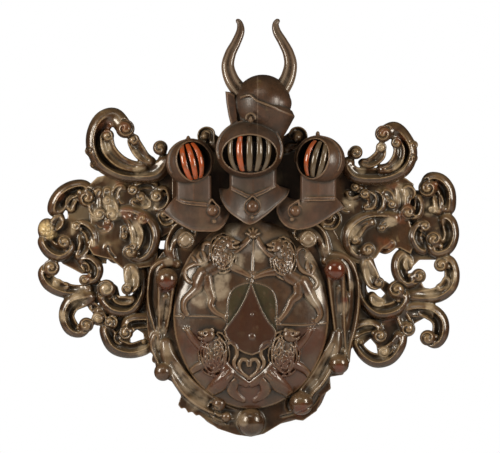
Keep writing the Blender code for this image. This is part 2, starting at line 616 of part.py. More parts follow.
def helmet(name, form):
    """A hollow skull with bars, on its neck and gorget, all cut flat at the seat."""
    joined = new_collection(f"{name}_joined")
    hollow = new_collection(f"{name}_hollow")
    centre = place(*form["skull"], SEAT + form["rise"])
    turn = math.radians(form["turn"])
    lean = math.radians(form["lean"])
    skull = ball(f"{name}_skull", centre, form["radii"], joined, HELMET_SIDES, HELMET_RINGS, turn, lean)
    trim_back(skull, SEAT)
    wall = HELMET_WALL / SQUARE
    inner = tuple(radius - wall for radius in form["radii"])
    cavity = ball(f"{name}_cavity", centre, inner, hollow, CAVITY_SIDES, CAVITY_RINGS, turn, lean)
    trim_back(cavity, SEAT + wall)
    for index, step in enumerate(form["slots"]):
        slot(f"{name}_slot_{index}", form, step, hollow)
    middle, top, foot, half, depth = form["neck"]
    neck = drum(f"{name}_neck", Vector((0, 0, 0)), half, half * NECK_TAPER, foot - top, joined)
    flat = Matrix.Diagonal((1, 1, depth / half, 1))
    neck.data.transform(Matrix.Translation(place(middle, (top + foot) / 2, SEAT + form["neck_rise"])) @ flat)
    trim_back(neck, SEAT)
    gorget(f"{name}_gorget", form, joined)
    for index, (across, down, radius, height) in enumerate(form["pendants"]):
        centre = place(across, down, SEAT + height)
        ball(f"{name}_pendant_{index}", centre, (radius, radius, radius), joined, 6, 5)
    return joined, hollow


def crest_hat(group):
    """The hat of the crest: a dome in a tilted band, with a plate standing off its left side."""
    across, down, radius = CREST_DOME
    centre = place(across, down, HORN_RISE)
    ball("crest_dome", centre, (radius, radius, radius), group, CREST_SIDES, CREST_RINGS)
    drum("crest_band", place(*CREST_BAND, HORN_RISE), CREST_BAND_FOOT, CREST_BAND_TOP, CREST_BAND_HEIGHT,
         group, BAND_SIDES, CREST_TILT)
    slab("crest_plate", CREST_PLATE, CREST_PLATE_REAR, CREST_PLATE_FRONT, group)


def helmet_blanks(name, form, group):
    """Cutters that clear the helmet's skull, neck and gorget from the seat outwards."""
    low = SEAT - JOINT_GAP / SQUARE
    across, down = form["skull"]
    reach = max(form["radii"][:2])
    disc(f"{name}_skull_blank", across, down, reach, SEAT, group)
    middle, top, foot, half, _ = form["neck"]
    neck = [(middle - half, top), (middle + half, top), (middle + half, foot), (middle - half, foot)]
    slab(f"{name}_neck_blank", neck, low, FAR_OUT, group, SIDE_GAP)
    outline = [point[:2] for point in form["rim"]]
    collar = foot - NECK_OVERLAP - COLLAR_DROP
    reach = half + COLLAR_PROUD
    outline += [(middle + reach, collar), (middle - reach, collar)]
    slab(f"{name}_gorget_blank", outline, low, FAR_OUT, group, SIDE_GAP)


def crest_blanks(group):
    """The crest's dome, band and plate, a gap larger, to clear what meets them."""
    gap = SIDE_GAP / SQUARE
    across, down, radius = CREST_DOME
    clear = radius + gap
    centre = place(across, down, HORN_RISE)
    ball("dome_blank", centre, (clear, clear, clear), group, BLANK_SIDES, BLANK_RINGS)
    drum("band_blank", place(*CREST_BAND, HORN_RISE), CREST_BAND_FOOT + gap, CREST_BAND_TOP + gap,
         CREST_BAND_HEIGHT + 2 * gap, group, BAND_SIDES, CREST_TILT)
    slab("plate_blank", CREST_PLATE, CREST_PLATE_REAR - gap, CREST_PLATE_FRONT + gap, group, SIDE_GAP)


def horn(name, knots, parts, blank, material):
    """A curved horn with flat facets along it; its foot is cut to the crest's dome."""
    sides = [2 * math.pi * index / HORN_SIDES for index in range(HORN_SIDES)]
    ring = [(math.cos(angle), math.sin(angle)) for angle in sides]
    body = roll(f"{name}_body", knots, (HORN_RISE, HORN_RISE), ring, new_collection(f"{name}_joined"))
    combine(body, "DIFFERENCE", blank, "EXACT")
    finish(body, name, parts, material)


def piece(name, joined, cuts, parts, material):
    """One solid: all in the first group united, then cut by the cut groups."""
    body = joined.objects[0]
    joined.objects.unlink(body)
    bpy.context.scene.collection.objects.link(body)
    combine(body, "UNION", joined)
    for cut in cuts:
        combine(body, "DIFFERENCE", cut)
    finish(body, name, parts, material)


def carving(name, joined, faces, back, cuts, parts, material, trim=None):
    """One solid of flowing carving: its rolls melted together, thinned to broad facets, planed flat
    at its back and cut by the cut groups."""
    skin = bmesh.new()
    for part in joined.objects:
        skin.from_mesh(part.data)
    mesh = bpy.data.meshes.new(f"{name}_melted")
    skin.to_mesh(mesh)
    skin.free()
    body = put(f"{name}_melted", mesh, bpy.context.scene.collection)
    melt = body.modifiers.new("melt", "REMESH")
    melt.mode = "VOXEL"
    melt.voxel_size = VOXEL
    bpy.context.view_layer.update()
    graph = bpy.context.evaluated_depsgraph_get()
    melted = bpy.data.meshes.new_from_object(body.evaluated_get(graph))
    body.modifiers.clear()
    body.data = melted
    trim_back(body, back)
    triangles = sum(len(face.vertices) - 2 for face in melted.polygons)
    thinner = body.modifiers.new("thin", "DECIMATE")
    thinner.ratio = faces / triangles
    if trim:
        combine(body, "INTERSECT", trim)
    for cut in cuts:
        combine(body, "DIFFERENCE", cut)
    finish(body, name, parts, material)


def shield_body():
    """Board, bombe field with its small shield and lions, and the rolled frame."""
    joined = new_collection("shield_joined")
    slab("shield_board", SHIELD_EDGE, -BEHIND, BOARD / SQUARE, joined, SIDE_GAP)
    across, down = FIELD_MIDDLE
    size = (FIELD_HALF_WIDTH, FIELD_HALF_HEIGHT, FIELD_GROUND + FIELD_CROWN)
    field = ball("shield_field", place(across, down), size, joined, FIELD_SIDES, FIELD_RINGS)
    for corner in field.data.vertices:
        if corner.co.z > 0:
            corner_across = corner.co.x / SQUARE + MIDDLE_ACROSS
            corner_down = MOUNT_DOWN - corner.co.y / SQUARE
            corner.co.z = field_rise(corner_across, corner_down) * SQUARE
    trim_back(field, 1)
    slab("small_shield", SMALL_SHIELD, FIELD_GROUND, SMALL_SHIELD_TOP, joined)
    rolls("frame", FRAME, joined)
    for index, lion in enumerate(LIONS):
        carve_lion(f"lion_{index}", lion, joined)
    return joined


def on_field(name, knots, section, group, sink=LIMB_SINK):
    """A roll whose ends are sunk a little into the bombe field."""
    first = field_rise(*knots[0][:2]) - sink
    last = field_rise(*knots[-1][:2]) - sink
    roll(name, knots, (first, last), section, group)


def carve_lion(name, lion, group):
    on_field(f"{name}_body", lion["body"], BODY, group)
    for index, limb in enumerate(lion["limbs"]):
        on_field(f"{name}_limb_{index}", limb, LIMB, group)
    across, down, radius, first, last = lion["mane"]
    for index in range(LOCKS):
        angle = math.radians(first + (last - first) * index / (LOCKS - 1))
        sways = (angle, angle, angle + math.radians(LOCK_SWAY))
        knots = [(across + reach * radius * math.cos(sway), down - reach * radius * math.sin(sway), half)
                 for reach, sway, half in zip(LOCK_REACH, sways, LOCK_HALF)]
        on_field(f"{name}_lock_{index}", knots, LIMB, group, LOCK_SINK)
    across, down, radius, angle = lion["head"]
    rise = field_rise(across, down) + radius * HEAD_RISE
    ball(f"{name}_head", place(across, down, rise), (radius, radius, radius), group)
    snout_across = across + SNOUT_REACH * radius * math.cos(math.radians(angle))
    snout_down = down - SNOUT_REACH * radius * math.sin(math.radians(angle))
    snout = tuple(radius * share for share in SNOUT_SHARES)
    ball(f"{name}_snout", place(snout_across, snout_down, rise), snout, group, 6, 4)


def wing_body(name, outline, webs, entries):
    joined = new_collection(f"{name}_joined")
    slab(f"{name}_board", outline, -BEHIND, BOARD / SQUARE, joined)
    for index, web in enumerate(webs):
        slab(f"{name}_web_{index}", web, -BEHIND, WEB, joined)
    rolls(name, entries, joined)
    return joined


def main():
    clear_scene()
    wall = bpy.data.objects.new("wall", None)
    bpy.context.scene.collection.objects.link(wall)
    wall.rotation_euler = (math.radians(90), 0, 0)
    parts = new_collection("armorial_shield")
    walnut = wood("dark_walnut", (0.075, 0.038, 0.02), 0.4)
    worn = wood("worn_walnut", (0.1, 0.06, 0.035), 0.45)

    edge = new_collection("shield_edge")
    slab("shield_trim", SHIELD_EDGE, -BEHIND, FAR_OUT, edge)
    edge_blank = new_collection("shield_edge_blank")
    slab("shield_blank", SHIELD_EDGE, -BEHIND, FAR_OUT, edge_blank, SIDE_GAP)
    blank = {}
    for name, form in HELMETS.items():
        blank[name] = new_collection(f"{name}_blanks")
        helmet_blanks(name, form, blank[name])
    crest_blank = new_collection("crest_blanks")
    crest_blanks(crest_blank)
    scrolls = {"top_scroll_left": LEFT_TOP_SCROLL, "top_scroll_right": RIGHT_TOP_SCROLL}
    for name, entries in scrolls.items():
        blank[name] = new_collection(f"{name}_blanks")
        blanks(name, entries, blank[name], SEAT - JOINT_GAP / SQUARE)

    for name, form in HELMETS.items():
        in_front = [] if name == "helmet_center" else [blank["helmet_center"], crest_blank]
        joined, hollow = helmet(name, form)
        if name == "helmet_center":
            crest_hat(joined)
        piece(name, joined, [hollow] + in_front, parts, worn)
    horn("horn_left", LEFT_HORN, parts, crest_blank, walnut)
    horn("horn_right", RIGHT_HORN, parts, crest_blank, walnut)
    for name, entries in scrolls.items():
        joined = new_collection(f"{name}_joined")
        rolls(name, entries, joined, SEAT - BEHIND)
        helmet_beside = blank[name.replace("top_scroll", "helmet")]
        carving(name, joined, TOP_SCROLL_FACES, SEAT, [helmet_beside], parts, walnut)
    wings = {"left": (LEFT_BOARD, LEFT_WEBS, LEFT_WING), "right": (RIGHT_BOARD, RIGHT_WEBS, RIGHT_WING)}
    for side, (outline, webs, entries) in wings.items():
        joined = wing_body(f"mantling_{side}", outline, webs, entries)
        cuts = [edge_blank, blank[f"helmet_{side}"], blank[f"top_scroll_{side}"]]
        carving(f"mantling_{side}", joined, WING_FACES, 0, cuts, parts, walnut)
    everything = [blank[name] for name in blank] + [crest_blank]
    carving("shield", shield_body(), SHIELD_FACES, 0, everything, parts, worn, edge)


main()
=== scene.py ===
"""Looks of the carved wooden armorial shield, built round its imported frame."""

import math

import bmesh
import bpy
import numpy as np
from mathutils import Matrix, Vector


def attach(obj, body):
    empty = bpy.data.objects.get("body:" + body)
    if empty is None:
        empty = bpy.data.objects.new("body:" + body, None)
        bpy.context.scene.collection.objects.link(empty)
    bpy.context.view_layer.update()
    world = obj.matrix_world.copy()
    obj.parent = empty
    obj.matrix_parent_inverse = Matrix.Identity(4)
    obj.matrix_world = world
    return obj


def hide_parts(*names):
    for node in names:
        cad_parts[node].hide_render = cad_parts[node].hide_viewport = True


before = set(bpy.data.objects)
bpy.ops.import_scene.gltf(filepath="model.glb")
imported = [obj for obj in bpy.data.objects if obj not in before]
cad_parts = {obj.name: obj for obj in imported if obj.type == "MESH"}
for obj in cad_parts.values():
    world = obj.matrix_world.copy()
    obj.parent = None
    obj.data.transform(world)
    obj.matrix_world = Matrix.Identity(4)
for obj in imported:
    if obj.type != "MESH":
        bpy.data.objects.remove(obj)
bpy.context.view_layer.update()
scene = bpy.context.scene


# The board and the rolled frame of the shield.
# One blank of walnut: a back board, and on its rim a strapwork frame with volutes, balls and leaf
# edges. It is carved with gouges, stained dark and waxed; its lower left edge is broken off.

# The carver's squared drawing: places are squares across from its left edge, squares down from its top
# and squares out from the wall.
SQUARE = 0.002
MIDDLE_ACROSS = 251
MOUNT_DOWN = 250
BOARD_RISE = 18
# Plates start a little behind the wall and are planed back to it.
BEHIND = -2
# The step, in metres, that melted shells are cut to.
CUT_STEP = 0.0015


def metres(squares):
    """Places on the squared drawing (across, down, out from the wall) as points of the frame."""
    across, down, rise = np.moveaxis(np.asarray(squares, float), -1, 0)
    return np.stack([(across - MIDDLE_ACROSS) * SQUARE, -rise * SQUARE, (MOUNT_DOWN - down) * SQUARE], -1)


def smooth_path(knots, steps):
    """Points of a smooth curve through the knots, whatever values the knots hold."""
    knots = np.asarray(knots, float)
    spread = np.vstack([2 * knots[0] - knots[1], knots, 2 * knots[-1] - knots[-2]])
    t = (np.arange(steps) / steps)[:, None]
    spans = []
    for before, first, last, after in zip(spread, spread[1:], spread[2:], spread[3:]):
        square_part = 2 * before - 5 * first + 4 * last - after
        cube_part = 3 * first - before - 3 * last + after
        spans.append(first + 0.5 * ((last - before) * t + square_part * t ** 2 + cube_part * t ** 3))
    return np.vstack(spans + [knots[-1:]])


# Sections of a carved roll in half widths: (place across it, height). A gutter has a high round body on the
# outside of the curl, a wide cup beside it and a low lip on the inside. A spoon is a leaf hollowed between
# two lips. Both grow out of the plain rounded section at their root.
GUTTER = smooth_path([
    (-0.78, 0), (-0.97, 0.35), (-1.0, 0.68), (-0.96, 0.92), (-0.87, 1.0), (-0.76, 0.92), (-0.6, 0.72),
    (-0.42, 0.6), (-0.24, 0.6), (-0.08, 0.78), (0.03, 1.2), (0.08, 1.68), (0.14, 1.95), (0.23, 1.98),
    (0.31, 1.84), (0.44, 1.84), (0.6, 1.75), (0.76, 1.52), (0.9, 1.18), (0.98, 0.8), (0.96, 0.35),
    (0.85, 0)], 2)
ROUNDED = smooth_path([
    (-0.78, 0), (-0.92, 0.3), (-0.99, 0.6), (-0.97, 0.9), (-0.9, 1.12), (-0.8, 1.32), (-0.66, 1.5),
    (-0.5, 1.63), (-0.34, 1.7), (-0.2, 1.74), (-0.08, 1.76), (0.02, 1.76), (0.12, 1.75), (0.24, 1.73),
    (0.36, 1.7), (0.5, 1.63), (0.64, 1.52), (0.78, 1.36), (0.9, 1.12), (0.98, 0.8), (0.96, 0.4),
    (0.8, 0)], 2)
SPOON = smooth_path([
    (-0.78, 0), (-0.94, 0.35), (-1.0, 0.75), (-0.97, 1.1), (-0.88, 1.32), (-0.76, 1.38), (-0.62, 1.3),
    (-0.48, 1.14), (-0.32, 0.98), (-0.16, 0.9), (-0.04, 0.88), (0.06, 0.88), (0.18, 0.9), (0.32, 0.98),
    (0.46, 1.14), (0.6, 1.34), (0.74, 1.48), (0.87, 1.42), (0.96, 1.15), (1.0, 0.75), (0.94, 0.35),
    (0.8, 0)], 2)
ROD = np.array([(math.cos(math.pi * side / 5), math.sin(math.pi * side / 5)) for side in range(10)])


def lofted(rings):
    """A closed shell through rings of points, as its points and faces."""
    count, sides = rings.shape[:2]
    points = rings.reshape(-1, 3)
    faces = []
    for ring in range(count - 1):
        for side in range(sides):
            beside = (side + 1) % sides
            faces.append((ring * sides + side, ring * sides + beside,
                          (ring + 1) * sides + beside, (ring + 1) * sides + side))
    faces.append(tuple(range(sides)))
    faces.append(tuple(range((count - 1) * sides, count * sides)))
    return points, faces


def swept(path, section, side=1.0):
    """A section that follows a path of (across, down, rise, half width)."""
    along = np.gradient(path[:, :2], axis=0)
    along /= np.maximum(np.linalg.norm(along, axis=1), 1e-6)[:, None]
    outward = side * np.stack([-along[:, 1], along[:, 0]], axis=1)
    spread = section[..., 0] * path[:, 3:4]
    height = section[..., 1] * path[:, 3:4]
    spots = path[:, None, :2] + outward[:, None, :] * spread[..., None]
    return lofted(np.concatenate([spots, (path[:, 2:3] + height)[..., None]], axis=2))


def curl_side(knots):
    """Which side of its knots is the outside of their curl."""
    spots = np.array([knot[:2] for knot in knots], float)
    steps = np.diff(spots, axis=0)
    turned = (steps[:-1, 0] * steps[1:, 1] - steps[:-1, 1] * steps[1:, 0]).sum()
    return -1.0 if turned > 0 else 1.0


def eased(value, low, high):
    """Zero below low, one above high, with a soft change between them."""
    share = np.clip((value - low) / (high - low), 0, 1)
    return share * share * (3 - 2 * share)


def rounded_off(path, reach, at_tip=True, least=0.03):
    """Rounds the half widths of a path off over a reach at its tip, or else at its root."""
    travelled = np.concatenate([[0], np.cumsum(np.linalg.norm(np.diff(path[:, :2], axis=0), axis=1))])
    if at_tip:
        travelled = travelled[-1] - travelled
    path[:, 3] *= np.sqrt(1 - (1 - np.clip(travelled / reach, least, 1)) ** 2)


# How far along a gutter the bead of its eye sits.
BEAD_SHARE = 0.86


def carved_roll(knots, backs, kind, tip, base=0.0):
    """The shells of one roll, of the bulb that it curls over into, and of the bead in its eye."""
    knots = [tuple(knot) for knot in knots]
    heights = list(np.linspace(backs[0], backs[1], len(knots)) + base)
    shells = []
    if tip:
        across, down, radius, height = tip
        knots.append((across, down, radius * 0.9))
        heights.append(height + base - 0.75 * radius)
        shells.append(globe((across, down, height + base), (radius, radius, radius)))
    path = smooth_path([(across, down, back, half) for (across, down, half), back in zip(knots, heights)], 8)
    rounded_off(path, 1.1 * path[0, 3], at_tip=False)
    if not tip:
        rounded_off(path, 1.2 * path[-1, 3])
    shares = np.linspace(0, 1, len(path))
    side = curl_side(knots)
    if kind == "leaf":
        opened = eased(shares, 0.1, 0.5)[:, None, None]
        return shells + [swept(path, ROUNDED + (SPOON - ROUNDED) * opened, side)]
    closed = 0.9 if tip else 1.0
    opened = (eased(shares, 0.04, 0.3) * (1 - eased(shares, closed - 0.2, closed)))[:, None, None]
    shells.append(swept(path, ROUNDED + (GUTTER - ROUNDED) * opened, side))
    spot, after = path[int(BEAD_SHARE * len(path)):][:2]
    ahead = after - spot
    inward = -side * np.array([-ahead[1], ahead[0]]) / np.hypot(*ahead[:2])
    eye = spot[:2] + inward * spot[3] * 0.75
    bead = 0.34 * spot[3] + 0.4
    shells.append(globe((*eye, spot[2] + spot[3] * 1.1), (bead, bead, bead)))
    return shells


def carved_rolls(rolls, base=0.0):
    """The shells of all rolls in a list."""
    return [shell for roll in rolls for shell in carved_roll(*roll, base)]


def eye_line(knots, tip):
    """The groove that winds nearly once round into the curled end of a roll, as (knots, half, depth)."""
    across, down, radius, _ = tip
    turning = -curl_side(knots + [(across, down, radius)])
    root = math.atan2(knots[-1][1] - down, knots[-1][0] - across)
    spiral = []
    for share in np.linspace(0, 1, 11):
        angle = root + turning * (0.5 + 5.4 * share)
        reach = radius * (0.92 - 0.66 * share)
        spiral.append((across + reach * math.cos(angle), down + reach * math.sin(angle)))
    return spiral, 0.45 + 0.08 * radius, 0.3 * radius


def vein_line(knots):
    """The groove that follows a leaf up to its tip."""
    path = smooth_path(knots, 4)
    return [tuple(spot[:2]) for spot in path[len(path) // 4:-len(path) // 5]], 0.9, 1.3


def incised(body, lines):
    """Cuts grooves, each (knots, half width, depth), into the front of a finished solid."""
    spots = np.stack(squares_of(body), -1)
    normals = np.empty(len(spots) * 3, np.float32)
    body.data.vertices.foreach_get("normal", normals)
    facing = eased(-normals.reshape(-1, 3)[:, 1], 0.0, 0.5)
    cut = np.zeros(len(spots))
    for knots, half, depth in lines:
        path = smooth_path(knots, 4)
        low = path.min(axis=0) - 3 * half
        high = path.max(axis=0) + 3 * half
        near_by = np.flatnonzero(((spots[:, :2] > low) & (spots[:, :2] < high)).all(axis=1))
        here = spots[near_by, None, :2]
        span = path[1:] - path[:-1]
        share = ((here - path[:-1]) * span).sum(axis=2) / np.maximum((span * span).sum(axis=1), 1e-6)
        share = np.clip(share, 0, 1)[..., None]
        gap = np.linalg.norm(here - path[:-1] - share * span, axis=2).min(axis=1)
        cut[near_by] = np.maximum(cut[near_by], depth * np.exp(-(gap / half) ** 2))
    spots[:, 2] -= cut * facing
    body.data.vertices.foreach_set("co", metres(spots).astype(np.float32).ravel())
    body.data.update()


def roll_lines(rolls, wound=True):
    """The grooves of all leaves in a list of rolls, and of the curled ends too where these are wound."""
    lines = [eye_line(knots, tip) for knots, _, _, tip in rolls if tip and wound]
    return lines + [vein_line(knots) for knots, _, kind, _ in rolls if kind == "leaf" and len(knots) > 2]


def globe(centre, radii, pose=None, sides=28, rings=18):
    """A ball or egg; radii are across, down and out."""
    polar = np.linspace(0.02, math.pi - 0.02, rings)[:, None]
    around = np.linspace(0, 2 * math.pi, sides, endpoint=False)[None, :]
    unit = np.stack([np.sin(polar) * np.cos(around), np.cos(polar) + 0 * around,
                     np.sin(polar) * np.sin(around)], axis=-1)
    shape = unit * np.array(radii)
    if pose is not None:
        shape = shape @ np.array(pose).T
    return lofted(shape + np.array(centre))


def rod(knots, half, steps=6):
    """A thin round bead through knots of (across, down, rise)."""
    path = smooth_path(knots, steps)
    path = np.column_stack([path, np.full(len(path), half)])
    return swept(path, ROD)


def slab(outline, low, high):
    """A flat plate with this outline between two heights."""
    rings = [[(across, down, rise) for across, down in outline] for rise in (low, high)]
    return lofted(np.array(rings, float))


def as_mesh(name, shells):
    """All shells in one mesh, in metres."""
    points = []
    faces = []
    for shell_points, shell_faces in shells:
        start = sum(len(part) for part in points)
        points.append(shell_points)
        faces += [tuple(corner + start for corner in face) for face in shell_faces]
    mesh = bpy.data.meshes.new(name)
    mesh.from_pydata(metres(np.vstack(points)).tolist(), [], faces)
    return mesh


def placed(name, data):
    """A new object of this name in the scene."""
    body = bpy.data.objects.new(name, data)
    scene.collection.objects.link(body)
    return body


def baked(body):
    """The body's mesh with its modifiers applied and removed."""
    bpy.context.view_layer.update()
    graph = bpy.context.evaluated_depsgraph_get()
    body.data = bpy.data.meshes.new_from_object(body.evaluated_get(graph))
    body.modifiers.clear()
    return body


def turned_out(mesh, closing=False):
    """Turns all faces of a mesh outwards, and closes its open edge first where that is asked."""
    skin = bmesh.new()
    skin.from_mesh(mesh)
    if closing:
        bmesh.ops.edgeloop_fill(skin, edges=[edge for edge in skin.edges if edge.is_boundary])
    bmesh.ops.recalc_face_normals(skin, faces=skin.faces)
    skin.to_mesh(mesh)
    skin.free()


def planed(body, rise):
    """Takes away what lies behind a height over the wall and closes the cut with a flat face."""
    skin = bmesh.new()
    skin.from_mesh(body.data)
    every = skin.verts[:] + skin.edges[:] + skin.faces[:]
    cut = bmesh.ops.bisect_plane(skin, geom=every, plane_co=(0, -rise * SQUARE, 0), plane_no=(0, -1, 0),
                                 clear_inner=True)
    edges = [item for item in cut["geom_cut"] if isinstance(item, bmesh.types.BMEdge)]
    if edges:
        bmesh.ops.edgeloop_fill(skin, edges=edges)
    bmesh.ops.recalc_face_normals(skin, faces=skin.faces)
    skin.to_mesh(body.data)
    skin.free()


def grown_together(name, shells, step=CUT_STEP, soften=3, back=0.0):
    """One solid of all the shells, melted where they meet, with its back planed flat."""
    body = placed(name, as_mesh(name, shells))
    melt = body.modifiers.new("melt", "REMESH")
    melt.mode = "VOXEL"
    melt.voxel_size = step
    smooth = body.modifiers.new("soften", "SMOOTH")
    smooth.factor = 0.5
    smooth.iterations = soften
    baked(body)
    planed(body, back)
    return body


def hollowness(mesh, passes, depth):
    """How far each point lies in a hollow, from -1 on ridges to 1 in deep ones."""
    count = len(mesh.vertices)
    spots = np.empty(count * 3, np.float32)
    mesh.vertices.foreach_get("co", spots)
    normals = np.empty(count * 3, np.float32)
    mesh.vertices.foreach_get("normal", normals)
    spots = spots.reshape(-1, 3).astype(float)
    normals = normals.reshape(-1, 3)
    ends = np.empty(len(mesh.edges) * 2, np.int32)
    mesh.edges.foreach_get("vertices", ends)
    first, second = ends.reshape(-1, 2).T
    here = np.concatenate([first, second])
    there = np.concatenate([second, first])
    shares = np.maximum(np.bincount(here, minlength=count), 1)
    level = spots.copy()
    for _ in range(passes):
        level = np.stack([np.bincount(here, level[there, axis], count) for axis in range(3)], 1)
        level /= shares[:, None]
    return np.clip(((level - spots) * normals).sum(axis=1) / depth, -1, 1)


def mark(body, name, values):
    """Stores one value for each point of the body under this name."""
    kept = body.data.attributes.new(name, "FLOAT", "POINT")
    kept.data.foreach_set("value", np.asarray(values, np.float32))


def squares_of(body):
    """The body's points back on the squared drawing."""
    spots = np.empty(len(body.data.vertices) * 3, np.float32)
    body.data.vertices.foreach_get("co", spots)
    x, y, z = spots.reshape(-1, 3).T
    return x / SQUARE + MIDDLE_ACROSS, MOUNT_DOWN - z / SQUARE, -y / SQUARE


def aged(body, zone, spots):
    """Marks soft round patches, each (across, down, radius), with the name of what age has left there; the
    field's grey patches are partly painted sheen.
    """
    across, down, _ = squares_of(body)
    held = np.zeros(len(across))
    for spot_across, spot_down, radius in spots:
        gap = np.hypot(across - spot_across, down - spot_down) / radius
        held = np.maximum(held, np.clip(1.6 - 1.2 * gap, 0, 1))
    mark(body, zone, held)


MOST_TRIANGLES = 115000
SHARP_EDGE = math.radians(60)
# The crease and hollow marks drive wear, dust, dirt, and painted highlights and shade.
# For these two marks: over how many edges a hollow is looked for, and what depth counts as full.
CREASE = (5, 0.0006)
HOLLOW = (60, 0.005)


def dressed(body, material, node):
    """Gives a finished piece its hollow marks and its material, hangs it on the root and hides its node's
    imported part.
    """
    mark(body, "crease", hollowness(body.data, *CREASE))
    mark(body, "hollow", hollowness(body.data, *HOLLOW))
    body.data.calc_loop_triangles()
    triangles = len(body.data.loop_triangles)
    if triangles > MOST_TRIANGLES:
        body.modifiers.new("thin out", "DECIMATE").ratio = MOST_TRIANGLES / triangles
        baked(body)
    mesh = body.data
    mesh.shade_smooth()
    mesh.set_sharp_from_angle(angle=SHARP_EDGE)
    mesh.materials.clear()
    mesh.materials.append(material)
    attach(body, "root")
    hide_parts(node)


def shade(tree, kind, values=None, **settings):
    """A shader node; values are numbers, colours or other nodes' outputs for its inputs."""
    made = tree.nodes.new(kind)
    for name, value in settings.items():
        setattr(made, name, value)
    for key, value in (values or {}).items():
        if isinstance(value, bpy.types.NodeSocket):
            tree.links.new(value, made.inputs[key])
        else:
            made.inputs[key].default_value = value
    return made


def ranged(tree, value, low, high, to_low=0.0, to_high=1.0):
    """The value spread over another range and kept inside it."""
    return shade(tree, "ShaderNodeMapRange", {0: value, 1: low, 2: high, 3: to_low, 4: to_high}).outputs[0]


def times(tree, first, second, operation="MULTIPLY"):
    """Two values multiplied, or worked out by another operation."""
    return shade(tree, "ShaderNodeMath", {0: first, 1: second}, operation=operation).outputs[0]


def plus(tree, first, second):
    """Two values added up."""
    return times(tree, first, second, "ADD")


def minus(tree, first, second):
    """One value less another."""
    return times(tree, first, second, "SUBTRACT")


def noise(tree, place, scale, detail, **values):
    """Soft clouds of light and dark over the piece, from 0 to 1."""
    return shade(tree, "ShaderNodeTexNoise",
                 {"Vector": place, "Scale": scale, "Detail": detail, **values}).outputs[0]


def marked(tree, name):
    """The mark of this name that the piece's points carry."""
    return shade(tree, "ShaderNodeAttribute", attribute_name=name).outputs["Fac"]


def blended(tree, share, first, second):
    """Two colours mixed by a share."""
    mix = shade(tree, "ShaderNodeMix", data_type="RGBA")
    for key, value in ((0, share), (6, first), (7, second)):
        if isinstance(value, bpy.types.NodeSocket):
            tree.links.new(value, mix.inputs[key])
        else:
            mix.inputs[key].default_value = value
    return mix.outputs[2]


DARK_FIBRE = (0.02, 0.011, 0.006, 1)
DIRT_AND_SHADE = (0.009, 0.005, 0.002, 1)
# How fine the fibres and the pores are along x, y and the upright z.
FIBRE_GRAIN = (90, 90, 9)
PORE_GRAIN = (900, 900, 60)


